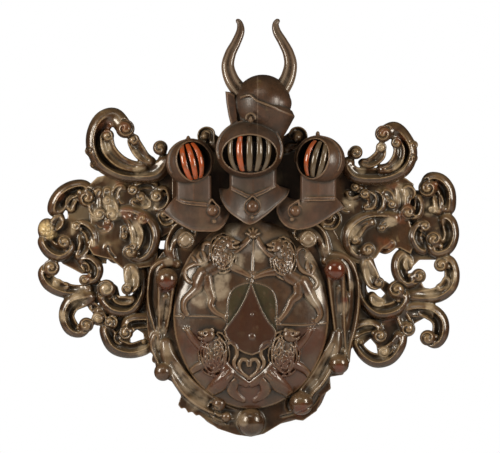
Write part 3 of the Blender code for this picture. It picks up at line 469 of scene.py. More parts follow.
def carved_wood_group():
    """Stained and waxed walnut: fibres along the upright planks, worn ridges, dirt and dust, and painted
    light and shade.
    """
    tree = bpy.data.node_groups.new("aged carved walnut", "ShaderNodeTree")
    for way, kind, names in (("INPUT", "NodeSocketColor", ("Stain", "Worn", "Dust and light")),
                             ("INPUT", "NodeSocketFloat", ("Dust and light share", "Wear", "Polish")),
                             ("OUTPUT", "NodeSocketColor", ("Color",)),
                             ("OUTPUT", "NodeSocketFloat", ("Roughness", "Height"))):
        for name in names:
            tree.interface.new_socket(name, in_out=way, socket_type=kind)
    given = shade(tree, "NodeGroupInput").outputs
    place = shade(tree, "ShaderNodeTexCoord").outputs["Object"]
    along, fine = [shade(tree, "ShaderNodeMapping", {"Vector": place, "Scale": grain}).outputs[0]
                   for grain in (FIBRE_GRAIN, PORE_GRAIN)]
    fibres = noise(tree, along, 1.0, 6.0, Distortion=0.6)
    pores = noise(tree, fine, 1.0, 3.0)
    patch = noise(tree, place, 16.0, 3.0)
    blotch = noise(tree, place, 22.0, 5.0, Roughness=0.65)
    dents = noise(tree, place, 95.0, 3.0)
    speck = noise(tree, place, 260.0, 4.0)
    crease = marked(tree, "crease")
    hollow = marked(tree, "hollow")
    normal = shade(tree, "ShaderNodeNewGeometry").outputs["Normal"]
    facing = shade(tree, "ShaderNodeSeparateXYZ", {0: normal}).outputs

    # The stain is thin in blotches and dark along the fibres.
    fibre_share = ranged(tree, fibres, 0.35, 0.7)
    colour = blended(tree, ranged(tree, blotch, 0.38, 0.68, 0.0, 0.5), given["Stain"], given["Worn"])
    colour = blended(tree, times(tree, fibre_share, 0.45), colour, DARK_FIBRE)
    # Hands and brushes have worn the ridges; the sharpest rims get a painted highlight in the dust colour.
    ridge = ranged(tree, minus(tree, crease, minus(tree, speck, 0.5)), -0.12, -0.75)
    colour = blended(tree, times(tree, ridge, given["Wear"]), colour, given["Worn"])
    colour = blended(tree, ranged(tree, crease, -0.45, -0.95, 0.0, 0.5), colour, given["Dust and light"])
    # Faces that turn sideways are darkened back to the stain: painted shade.
    colour = blended(tree, ranged(tree, facing["Y"], -0.6, -0.1, 0.0, 0.7), colour, given["Stain"])
    # What looks up lightens with dust and painted top light, the front with dust patches, less outside
    # hollows.
    lying_dust_and_top_light = times(tree, ranged(tree, facing["Z"], 0.0, 0.8), ranged(tree, blotch, 0.3, 0.6))
    in_front = times(tree, ranged(tree, facing["Y"], -0.6, -0.97, 0.0, 0.75), ranged(tree, patch, 0.52, 0.66))
    settled_dust_and_top_light = times(tree, plus(tree, lying_dust_and_top_light, in_front), ranged(tree, hollow, -0.5, 0.4, 0.35, 1.0))
    # Grooves hold grit, and are darkened with dirt and painted shade.
    grit = times(tree, ranged(tree, crease, 0.1, 0.5), ranged(tree, speck, 0.45, 0.6, 0.2, 1.0))
    colour = blended(tree, ranged(tree, crease, 0.04, 0.45, 0.0, 0.75), colour, DIRT_AND_SHADE)
    dust_and_light = times(tree, plus(tree, settled_dust_and_top_light, times(tree, grit, 0.3)), given["Dust and light share"])
    colour = blended(tree, dust_and_light, colour, given["Dust and light"])
    # Deep hollows are darkened nearly to black: painted shade, with some dirt.
    colour = blended(tree, ranged(tree, hollow, 0.05, 0.65, 0.0, 0.88), colour, DIRT_AND_SHADE)
    # Fibres, dust and deep hollows take the shine off.
    dull = plus(tree, given["Polish"], times(tree, fibre_share, 0.1))
    dull = plus(tree, dull, times(tree, dust_and_light, 0.35))
    dull = plus(tree, dull, ranged(tree, hollow, 0.0, 0.8, 0.0, 0.25))
    height = plus(tree, times(tree, fibres, 0.4), times(tree, pores, 0.3))
    height = plus(tree, height, plus(tree, times(tree, blotch, 0.8), dents))
    shade(tree, "NodeGroupOutput", {"Color": colour, "Roughness": dull, "Height": height})
    return tree


CARVED_WOOD = carved_wood_group()
# Wax on the wood: how much it mirrors, and the thin clear coat on top.
WAX = {"Specular IOR Level": 0.35, "Coat Roughness": 0.14, "Coat Tint": (1.0, 0.92, 0.82, 1)}
BUMP_HEIGHT = 0.0012


def wood(name, stain, worn, dust_and_light, dust_and_light_share, wear, polish, bump, coat=0.55):
    """A material of the aged walnut group with its own values, and its shader."""
    material = bpy.data.materials.new(name)
    material.use_nodes = True
    tree = material.node_tree
    shader = tree.nodes["Principled BSDF"].inputs
    group = shade(tree, "ShaderNodeGroup", node_tree=CARVED_WOOD)
    for key, value in (("Stain", (*stain, 1)), ("Worn", (*worn, 1)), ("Dust and light", (*dust_and_light, 1)),
                       ("Dust and light share", dust_and_light_share), ("Wear", wear), ("Polish", polish)):
        group.inputs[key].default_value = value
    relief = shade(tree, "ShaderNodeBump", {"Height": group.outputs["Height"], "Strength": bump,
                                            "Distance": BUMP_HEIGHT})
    for made, key in ((group.outputs["Color"], "Base Color"), (group.outputs["Roughness"], "Roughness"),
                      (relief.outputs[0], "Normal")):
        tree.links.new(made, shader[key])
    for key, value in WAX.items():
        shader[key].default_value = value
    shader["Coat Weight"].default_value = coat
    return material


def tinted(material, zone, colour, share):
    """Old paint, dust, bare wood, painted shade or painted sheen on the points that carry the zone's mark,
    worn through in flakes.
    """
    tree = material.node_tree
    base = tree.nodes["Principled BSDF"].inputs["Base Color"]
    place = shade(tree, "ShaderNodeTexCoord").outputs["Object"]
    flaked = ranged(tree, noise(tree, place, 70.0, 8.0), 0.36, 0.5, 0.45, 1.0)
    edge = times(tree, minus(tree, noise(tree, place, 45.0, 5.0), 0.5), 1.6)
    held = ranged(tree, plus(tree, marked(tree, zone), edge), 0.25, 0.85)
    left = times(tree, times(tree, flaked, held), share)
    tree.links.new(blended(tree, left, base.links[0].from_socket, (*colour, 1)), base)


def rubbed(material, zone, share):
    """A higher polish on the points that carry the zone's mark, or a duller face with a share below 0."""
    tree = material.node_tree
    rough = tree.nodes["Principled BSDF"].inputs["Roughness"]
    left = ranged(tree, marked(tree, zone), 0, 1, 1.0, 1.0 - share)
    tree.links.new(times(tree, rough.links[0].from_socket, left), rough)


# Each roll: its knots (across, down, half width) from root to tip, how far its back stands off the wall
# at root and tip, its kind, and the ball in its tip (across, down, radius, height) or None.
FRAME_ROLLS = [
    ([(174, 264, 5), (170, 250, 6), (173, 237, 6), (181, 228, 7), (191, 231, 6)], (14, 18),
     "leaf", (186, 240, 9, 28)),
    ([(181, 266, 4), (168, 262, 5), (156, 269, 6), (153, 286, 6), (153, 304, 6), (157, 321, 6),
      (162, 333, 5)], (16, 12), "leaf", (167, 279, 11, 30)),
    ([(167, 290, 6), (166, 304, 7), (164, 318, 6), (163, 330, 5)], (18, 16), "leaf", None),
    ([(157, 329, 6), (156, 345, 7), (163, 361, 7)], (10, 10), "leaf", (163, 372, 9, 22)),
    ([(165, 336, 6), (168, 354, 8), (176, 371, 9), (188, 387, 10), (204, 400, 10), (222, 410, 8),
      (240, 416, 6)], (12, 10), "leaf", None),
    ([(157, 328, 3), (151, 336, 4)], (8, 10), "leaf", (150, 338, 3.6, 13)),
    ([(158, 340, 3), (153, 348, 4)], (8, 10), "leaf", (152, 350, 3.6, 13)),
    ([(161, 351, 3), (156, 358, 4)], (8, 10), "leaf", (155, 360, 3.4, 13)),
    ([(204, 413, 5), (212, 418, 6.5), (224, 423, 7), (240, 427, 6)], (6, 6), "leaf", (251, 422, 14, 20)),
    ([(229, 423, 4), (217, 417, 5), (212, 407, 5)], (12, 14), "leaf", (219, 404, 7, 22)),
    ([(213, 419, 3), (222, 424, 4)], (10, 10), "leaf", (226, 417, 5, 20)),
    ([(328, 262, 5), (325, 247, 6), (319, 233, 6), (307, 227, 6), (298, 234, 5)], (14, 18),
     "leaf", (308, 239, 9, 28)),
    ([(322, 264, 4), (333, 256, 5), (346, 262, 6), (353, 279, 6), (354, 300, 6), (352, 320, 6),
      (347, 340, 6), (342, 352, 5)], (16, 12), "leaf", (335, 269, 11, 30)),
    ([(338, 281, 6), (341, 296, 7), (342, 310, 6), (340, 321, 5)], (18, 16), "leaf", None),
    ([(338, 326, 6), (334, 345, 8), (327, 362, 9), (317, 379, 9), (307, 391, 8)], (12, 12),
     "leaf", (301, 403, 12, 26)),
    ([(301, 391, 3), (290, 397, 4), (288, 408, 4), (296, 417, 4)], (14, 12), "leaf", None),
    ([(349, 312, 3), (355, 319, 4)], (8, 10), "leaf", (356, 321, 3.6, 13)),
    ([(347, 325, 3), (352, 332, 4)], (8, 10), "leaf", (353, 334, 3.6, 13)),
    ([(345, 337, 3), (349, 344, 4)], (8, 10), "leaf", (350, 346, 3.4, 13)),
    ([(343, 345, 5), (340, 356, 7)], (10, 12), "leaf", (339, 364, 10, 22)),
    ([(327, 381, 4), (320, 393, 6), (312, 405, 7), (295, 413, 7), (277, 418, 7), (262, 425, 6)], (8, 7),
     "leaf", None),
    ([(219, 150, 4), (214, 146, 4), (212, 139, 3.6), (211.5, 132, 3.4), (206.5, 129.5, 3.2),
      (201.5, 132, 3.2), (200.5, 137.5, 3.2), (204, 140.5, 3)], (16, 16), "leaf", (205, 136.5, 3.6, 24)),
    ([(283, 152, 4), (290, 147, 4), (297, 146, 3.8), (303, 141, 3.8), (303.5, 134, 3.8), (299, 130, 3.6),
      (293.5, 131, 3.2), (291.5, 136, 3)], (16, 16), "leaf", (297, 137.5, 4.6, 24)),
]
SHIELD_EDGE = [
    (172, 168), (182, 152), (199, 148), (197, 135), (206, 127), (215, 134), (225, 141), (277, 141),
    (288, 133), (297, 127), (307, 136), (304, 148), (322, 152), (332, 168), (332, 226), (346, 252),
    (356, 264), (360, 285), (361, 305), (358, 325), (352, 343), (350, 362), (343, 375), (330, 377),
    (331, 389), (321, 397), (317, 411), (303, 421), (289, 419), (274, 428), (264, 434), (251, 437),
    (236, 435), (218, 429), (204, 419), (199, 415), (196, 416), (192, 412), (188, 413), (185, 408),
    (181, 409), (178, 405), (181, 396), (172, 382), (157, 374), (154, 358), (149, 345), (147, 325),
    (146, 300), (147, 278), (155, 262), (164, 250), (168, 238), (172, 222),
]

# The groove that winds round each of the two upper balls, about the ball's middle.
BALL_RING = [(-7, 0), (0, -7), (7, 0), (0, 7), (-6, 4)]

frame_wood = wood("frame_walnut", stain=(0.022, 0.0115, 0.0055), worn=(0.088, 0.039, 0.017),
                  dust_and_light=(0.2, 0.15, 0.085), dust_and_light_share=0.7, wear=0.65, polish=0.27, bump=0.45)
frame_shells = [slab(SHIELD_EDGE, BEHIND, BOARD_RISE)] + carved_rolls(FRAME_ROLLS)
frame_piece = grown_together("shield_frame", frame_shells)
rings = [([(across + beside, down + below) for beside, below in BALL_RING], 0.9, 1.6)
         for across, down in ((186, 240), (308, 239))]
incised(frame_piece, roll_lines(FRAME_ROLLS, wound=False) + rings)
aged(frame_piece, "old_red", [(167, 286, 8), (335, 271, 12), (339, 369, 6), (300, 409, 7), (344, 300, 4)])
aged(frame_piece, "dust_grey", [(163, 312, 8), (343, 308, 7), (168, 262, 5), (158, 345, 5), (350, 285, 5),
                                (240, 419, 8), (176, 370, 9), (187, 385, 9), (201, 399, 9), (322, 372, 9),
                                (314, 384, 7), (186, 240, 8), (308, 239, 9), (160, 330, 5), (325, 250, 6),
                                (168, 350, 7), (332, 350, 7), (192, 404, 8)])
aged(frame_piece, "hand_polish", [(167, 279, 11), (335, 269, 12), (339, 364, 9), (301, 403, 11),
                                  (251, 422, 13)])
rubbed(frame_wood, "hand_polish", 0.5)
tinted(frame_wood, "old_red", (0.075, 0.012, 0.004), 0.75)
tinted(frame_wood, "dust_grey", (0.24, 0.19, 0.135), 0.6)
dressed(frame_piece, frame_wood, "shield")


# The bombe field.
# The middle of the same blank swells out of its frame. Four lions, the lines that quarter it, and a small
# pointed shield painted red on a green ground are cut from it in low relief.

FIELD_MIDDLE = (251, 314)
FIELD_HALF = (78, 95)
# How far the field's ground stands off the wall, and how far its middle swells over that. The ground lies
# low at the top, behind the helmets, and comes forward between these two heights on the drawing.
FIELD_GROUND = 22
FIELD_CROWN = 18
GROUND_COMES_OUT = (222, 285)
FIELD_STEP = 0.58
HIDDEN_RISE = BOARD_RISE - 1.5

across_line, down_line = [np.arange(middle - half - 1, middle + half + 1, FIELD_STEP)
                          for middle, half in zip(FIELD_MIDDLE, FIELD_HALF)]
ACROSS, DOWN = np.meshgrid(across_line, down_line)
from_middle = (((ACROSS - FIELD_MIDDLE[0]) / FIELD_HALF[0]) ** 2
               + ((DOWN - FIELD_MIDDLE[1]) / FIELD_HALF[1]) ** 2)
relief = np.zeros_like(ACROSS)


def near(knots, reach):
    """The part of the field's grid within reach of these knots, as slices."""
    knots = np.asarray(knots, float)
    low = knots[:, :2].min(axis=0) - reach
    high = knots[:, :2].max(axis=0) + reach
    rows = slice(*np.searchsorted(down_line, (low[1], high[1])))
    columns = slice(*np.searchsorted(across_line, (low[0], high[0])))
    return rows, columns


def gap_to(first, last, across, down):
    """How far along a straight stretch each point of the grid lies, as a share, and how far off it."""
    span = last[:2] - first[:2]
    share = ((across - first[0]) * span[0] + (down - first[1]) * span[1]) / max(span @ span, 1e-6)
    share = np.clip(share, 0, 1)
    return share, np.hypot(across - first[0] - share * span[0], down - first[1] - share * span[1])


def limb(knots, crown=0.9, lift=0.0, steps=5):
    """Raises a rounded form along knots (across, down, half width) over what is there already."""
    path = smooth_path(knots, steps)
    rows, columns = near(path, path[:, 2].max())
    across, down = ACROSS[rows, columns], DOWN[rows, columns]
    best = np.zeros_like(across)
    for first, last in zip(path, path[1:]):
        share, gap = gap_to(first, last, across, down)
        half = first[2] + share * (last[2] - first[2])
        height = crown * half * np.sqrt(np.clip(1 - (gap / half) ** 2, 0, 1))
        best = np.maximum(best, np.where(height > 0, height + lift, 0))
    relief[rows, columns] = np.maximum(relief[rows, columns], best)


def cut_line(knots, half, depth):
    """Cuts a groove along knots (across, down) into what is there already."""
    path = smooth_path(knots, 5)
    rows, columns = near(path, 3 * half)
    across, down = ACROSS[rows, columns], DOWN[rows, columns]
    gap = np.min([gap_to(first, last, across, down)[1] for first, last in zip(path, path[1:])], axis=0)
    relief[rows, columns] -= depth * np.exp(-(gap / half) ** 2)


def dome(across, down, radii, height, lift=0.0):
    """Raises an egg over what is there already."""
    rows, columns = near([(across, down)], max(radii))
    gap = ((ACROSS[rows, columns] - across) / radii[0]) ** 2 + ((DOWN[rows, columns] - down) / radii[1]) ** 2
    egg = np.where(gap < 1, height * np.sqrt(np.clip(1 - gap, 0, 1)) + lift, 0)
    relief[rows, columns] = np.maximum(relief[rows, columns], egg)


def paw(across, down, toward, size=2.2):
    """Four toes that spread from a paw, toward an angle in degrees anticlockwise from the right."""
    dome(across, down, (size, size), size)
    for spread in (-48, -16, 16, 48):
        angle = math.radians(toward + spread)
        middle, tip = [(across + reach * size * math.cos(angle), down - reach * size * math.sin(angle))
                       for reach in (1.2, 2.3)]
        limb([(across, down, size * 0.55), (*middle, size * 0.5), (*tip, size * 0.28)], 1.3)


MANE_HEIGHT = 7.0
# From the outside in: where each ring of locks lies, as a share of the mane, and how many locks it has.
MANE_RINGS = ((1.0, 19), (0.8, 17), (0.6, 14), (0.4, 10))
# One lock from root to tip: place from its ring, swing to the side, half width.
LOCK = ((-0.3, 0, 1.0), (-0.16, 1, 1.35), (-0.02, -1, 1.25), (0.08, -0.4, 0.9), (0.15, 1, 0.45))


def locks(across, down, radii, face, seed):
    """A mane: rings of wavy locks that part from the face, on a swelling chest. Face is its angle."""
    rng = np.random.default_rng(seed)
    wide, tall = radii
    dome(across, down, (wide * 0.96, tall * 0.96), MANE_HEIGHT)
    for ring, (share, count) in enumerate(MANE_RINGS):
        for index in range(count):
            angle = face + 35 + 290 * (index + 0.5 * (ring % 2)) / count + rng.uniform(-3, 3)
            wave = (9 + 7 * share) * (-1) ** (index // 2)
            knots = []
            for beyond, swing, half in LOCK:
                turn = math.radians(angle + swing * wave)
                out = max(share + beyond, 0.02)
                knots.append((across + wide * out * math.cos(turn), down - tall * out * math.sin(turn), half))
            base = MANE_HEIGHT * math.sqrt(max(0.04, 1 - 0.96 * share * share)) + 0.5
            limb(knots, 1.4, base - 0.6, 4)


def lion_head(across, down, size, face):
    """Skull, brow, muzzle, open jaw, eye and ear of a head that looks toward an angle."""
    turn = math.radians(face)
    ahead = np.array([math.cos(turn), -math.sin(turn)])
    above = np.array([-math.sin(turn), -math.cos(turn)]) * (1 if math.cos(turn) > 0 else -1)

    def spot(forward, upward):
        return np.array([across, down]) + size * (forward * ahead + upward * above)

    dome(across, down, (size, size), size * 0.8, 3.5)
    dome(*spot(0.75, 0.1), (size * 0.62, size * 0.46), size * 0.6, 4.5)
    dome(*spot(1.2, 0.2), (size * 0.26, size * 0.22), size * 0.35, 6.2)
    limb([(*spot(0.3, -0.45), size * 0.28), (*spot(0.75, -0.62), size * 0.26),
          (*spot(1.12, -0.5), size * 0.2)], 1.0, 4.5)
    dome(*spot(0.25, 0.52), (size * 0.42, size * 0.24), size * 0.4, 6.0)
    cut_line([spot(0.5, -0.28), spot(0.85, -0.3), spot(1.25, -0.16)], 0.7, 2.6)
    cut_line([spot(0.34, 0.2), spot(0.5, 0.24)], 0.7, 1.8)
    dome(*spot(-0.45, 0.85), (size * 0.32, size * 0.36), size * 0.45, 4.5)
    cut_line([spot(-0.45, 0.85), spot(-0.35, 1.0)], 0.6, 1.4)


def inside(outline):
    """Which points of the grid lie inside an outline."""
    within = np.zeros(ACROSS.shape, bool)
    for (a0, d0), (a1, d1) in zip(outline, outline[1:] + outline[:1]):
        crosses = (DOWN < d0) != (DOWN < d1)
        edge = a0 + (DOWN - d0) * (a1 - a0) / (d1 - d0 if d1 != d0 else 1e-6)
        within ^= crosses & (ACROSS < edge)
    return within


# The lines that quarter the field, the arched ground and the small shield on it.
LINE_HALF = 0.9
limb([(254, 228, LINE_HALF), (253, 255, LINE_HALF), (252, 284, LINE_HALF)], 1.1)
limb([(174, 316, LINE_HALF), (200, 316, LINE_HALF), (228, 317, LINE_HALF)], 1.1)
limb([(276, 324, LINE_HALF), (300, 325, LINE_HALF), (326, 323, LINE_HALF)], 1.1)
ARCH = [(251, 283), (241, 285), (233, 290), (229, 299), (228, 312), (228, 330)]
arch_line = smooth_path(ARCH, 5)
other_side = [(2 * 252 - across, down) for across, down in arch_line[::-1]]
ground_within = inside([tuple(spot) for spot in arch_line] + other_side)
for line in (arch_line, other_side):
    limb([(across, down, 0.8) for across, down in line], 1.1, 0, 1)
relief[ground_within] -= 0.8
SMALL_SHIELD = [(251, 283), (248, 291), (245, 299), (239, 310), (232, 320), (225, 330), (229, 340),
                (238, 348), (252, 354), (266, 347), (274, 339), (275, 330), (268, 321), (262, 311),
                (257, 299), (254, 291)]
small_within = inside(SMALL_SHIELD)
relief[small_within] = np.maximum(relief[small_within], 2.0)
limb([(*spot, LINE_HALF) for spot in SMALL_SHIELD + SMALL_SHIELD[:1]], 0.9, 1.9, 2)
dome(252, 336, (3.2, 3.2), 1.0, 2.0)
dome(252, 314, (1.5, 1.5), 1.0, 2.0)

# Between the upper lions' forepaws, a crown of five points above and a knot of leaves below.
for index in range(5):
    spread = math.radians(20 + 35 * index)
    limb([(253, 236, 1.6), (253 + 4 * math.cos(spread), 236 - 5 * math.sin(spread), 1.5),
          (253 + 7 * math.cos(spread), 236 - 8 * math.sin(spread), 1.0)], 1.3, 2.0)
dome(253, 236, (3.5, 2.6), 3.0, 2.5)
for toward in (20, 60, 120, 160, 200, 340):
    paw(252 + 2.5 * math.cos(math.radians(toward)), 276 - 2.5 * math.sin(math.radians(toward)), toward, 1.5)

# The lion above on the left, which climbs to the right.
limb([(222, 262, 7), (213, 268, 7), (204, 273, 6.6), (199, 279, 7)], 0.75)
limb([(203, 273, 7), (199, 281, 6.5), (197, 288, 5), (191, 294, 3.8), (185, 300, 3.4), (184, 308, 3),
      (187, 314, 2.6)])
limb([(206, 277, 6.5), (209, 288, 4.6), (212, 297, 3.6), (211, 305, 3.2), (216, 312, 2.8),
      (224, 316, 2.4)])
paw(186, 314, 190)
paw(223, 316, -10)
limb([(228, 253, 5), (237, 249, 3.8), (246, 242, 3), (252, 234, 2.4)])
limb([(228, 264, 5), (239, 270, 3.6), (250, 276, 2.4)])
paw(251, 235, 60, 1.8)
for tail in (
    [(196, 283, 2), (189, 281, 2.2), (185, 275, 2.2), (187, 268, 2.2), (195, 264, 2.3), (204, 263, 2.3),
     (209, 258, 2.3), (212, 251, 2.4), (210, 244, 2.4), (204, 244, 2.3), (203, 249, 1.8)],
    [(206, 262, 2.2), (205, 256, 2.2), (202, 250, 1.0)],
    [(202, 263, 2.2), (198, 257, 2.2), (199, 252, 1.0)],
    [(199, 264, 2.2), (194, 259, 2.0), (192, 256, 0.9)],
):
    limb(tail, 1.0)
locks(223, 253, (12.5, 18), 25, 3)
lion_head(230.5, 243.5, 6.6, 2)

# The lion above on the right, which climbs to the left.
limb([(284, 270, 7), (291, 277, 7), (300, 282, 6.6), (306, 286, 7)], 0.75)
limb([(303, 282, 7), (308, 291, 6), (313, 300, 4.6), (318, 307, 3.6), (320, 315, 3), (316, 321, 2.6)])
limb([(299, 284, 6.5), (298, 294, 5), (292, 300, 3.8), (289, 306, 3.2), (285, 313, 2.8), (280, 319, 2.4)])
paw(316, 321, 200)
paw(280, 319, 215)
limb([(276, 257, 5), (268, 252, 3.8), (261, 245, 3), (257, 237, 2.4)])
limb([(276, 271, 5), (266, 273, 3.6), (255, 277, 2.4)])
paw(258, 237, 120, 1.8)
for tail in (
    [(310, 288, 2), (315, 287, 2.2), (317, 281, 2.2), (312, 275, 2.3), (304, 272, 2.3), (299, 267, 2.3),
     (296, 259, 2.4), (297, 251, 2.4), (303, 247, 2.3), (308, 251, 2.2), (306, 257, 1.8)],
    [(309, 272, 2.2), (307, 265, 2.2), (308, 259, 1.0)],
    [(312, 273, 2.2), (314, 267, 2.1), (311, 262, 1.0)],
):
    limb(tail, 1.0)
locks(283.5, 258, (12, 19), 155, 4)
lion_head(276, 246, 6.6, 178)

# The lions below, which face outwards with heavy manes and knotted tails. The right one is the mirror of
# the left one about its own middle.
LEFT_LION_MIDDLE = 213
for flip, middle, seed in ((1, LEFT_LION_MIDDLE, 5), (-1, 285, 6)):
    def facing(points):
        return [(middle + flip * (across - LEFT_LION_MIDDLE), *rest) for across, *rest in points]

    limb(facing([(220, 362, 7), (228, 371, 7), (238, 378, 5.5), (246, 383, 4)]), 0.7)
    limb(facing([(228, 374, 8), (219, 384, 8), (211, 391, 5.5), (207, 398, 3.5)]), 0.8)
    limb(facing([(234, 380, 6), (232, 389, 5.5), (237, 396, 4), (243, 400, 2.5)]), 0.8)
    limb(facing([(206, 349, 5.5), (198, 343, 4.4), (191, 335, 3.4), (188, 330, 2.6)]))
    limb(facing([(208, 362, 5.5), (199, 366, 4.4), (192, 371, 3.4), (188, 377, 2.6)]))
    paw(*facing([(188, 331)])[0], 110 if flip > 0 else 70)
    paw(*facing([(189, 377)])[0], 230 if flip > 0 else 310)
    paw(*facing([(207, 398)])[0], 215 if flip > 0 else 325)
    limb(facing([(224, 352, 1.8), (226, 345, 2), (231, 342, 2.1), (236, 346, 2.1), (237, 354, 2.1),
                 (234, 361, 2.1), (236, 368, 2.1), (242, 373, 2.1), (250, 378, 1.8)]), 1.1, 1.0)
    limb(facing([(247, 376, 1.8), (241, 371, 2), (239, 364, 2.1), (242, 359, 2.1), (247, 360, 2),
                 (248, 365, 1.6)]), 1.1, 1.0)
    locks(*facing([(214, 353)])[0], (14, 21), 110 if flip > 0 else 70, seed)
    lion_head(*facing([(208, 335)])[0], 7.2, 168 if flip > 0 else 12)
    for index in range(4):
        start = facing([(224 + 3.4 * index, 366 + 3.6 * index)])[0]
        stop = facing([(219 + 3.4 * index, 371 + 3.6 * index)])[0]
        cut_line([start, stop], 0.6, 0.9)

# The relief on the swelling ground, as one closed shell that ends inside the board.
stepped = eased(DOWN, *GROUND_COMES_OUT)
ground = HIDDEN_RISE + 1 + (FIELD_GROUND - HIDDEN_RISE - 1) * stepped
crown = (FIELD_CROWN + 3 * (1 - stepped)) * np.clip(1 - from_middle, 0, 1) ** (0.85 - 0.35 * stepped)
level = ground + crown + relief * eased(1 - from_middle, 0, 0.06)
rise = np.where(from_middle < 1, level, HIDDEN_RISE)
rows, columns = ACROSS.shape
numbers = np.arange(rows * columns).reshape(rows, columns)
cells = np.stack([numbers[:-1, :-1], numbers[:-1, 1:], numbers[1:, 1:], numbers[1:, :-1]], -1).reshape(-1, 4)
shown = (from_middle < 1).ravel()
cells = cells[shown[cells].any(axis=1)]
used, cells = np.unique(cells, return_inverse=True)
field_mesh = bpy.data.meshes.new("shield_field")
spots = np.stack([ACROSS.ravel()[used], DOWN.ravel()[used], rise.ravel()[used]], -1)
field_mesh.from_pydata(metres(spots).tolist(), [], cells.reshape(-1, 4)[:, ::-1].tolist())
turned_out(field_mesh, closing=True)
field_piece = placed("shield_field", field_mesh)
mark(field_piece, "red", small_within.ravel()[used])
mark(field_piece, "green", (ground_within & ~small_within).ravel()[used])
field_wood = wood("field_walnut", stain=(0.029, 0.014, 0.0065), worn=(0.11, 0.055, 0.027),
                  dust_and_light=(0.16, 0.125, 0.08), dust_and_light_share=0.45, wear=0.8, polish=0.33, bump=0.5)
tinted(field_wood, "red", (0.034, 0.012, 0.006), 0.8)
tinted(field_wood, "green", (0.026, 0.024, 0.01), 0.75)
# The pale grey patches on the upper field are partly dust, partly painted sheen on the swelling field.
aged(field_piece, "dust_grey", [(202, 297, 10), (220, 290, 10), (222, 277, 9), (236, 262, 9), (204, 262, 5),
                                (322, 278, 10), (314, 298, 9), (258, 255, 7), (310, 258, 6), (232, 228, 8)])
aged(field_piece, "warm_stain", [(196, 345, 16), (218, 372, 18), (250, 392, 18), (290, 372, 20),
                                 (312, 340, 18)])
# Pale grey on the upper field: dust and painted sheen.
tinted(field_wood, "dust_grey", (0.24, 0.2, 0.15), 0.7)
tinted(field_wood, "warm_stain", (0.06, 0.018, 0.008), 0.75)
dressed(field_piece, field_wood, "shield")


# The mantling wings.
# Each is a glued-up board, sawn through between its scrolls and carved with hollow acanthus leaves that
# curl over into fat ends. The top left tip is broken off and shows pale bare wood.

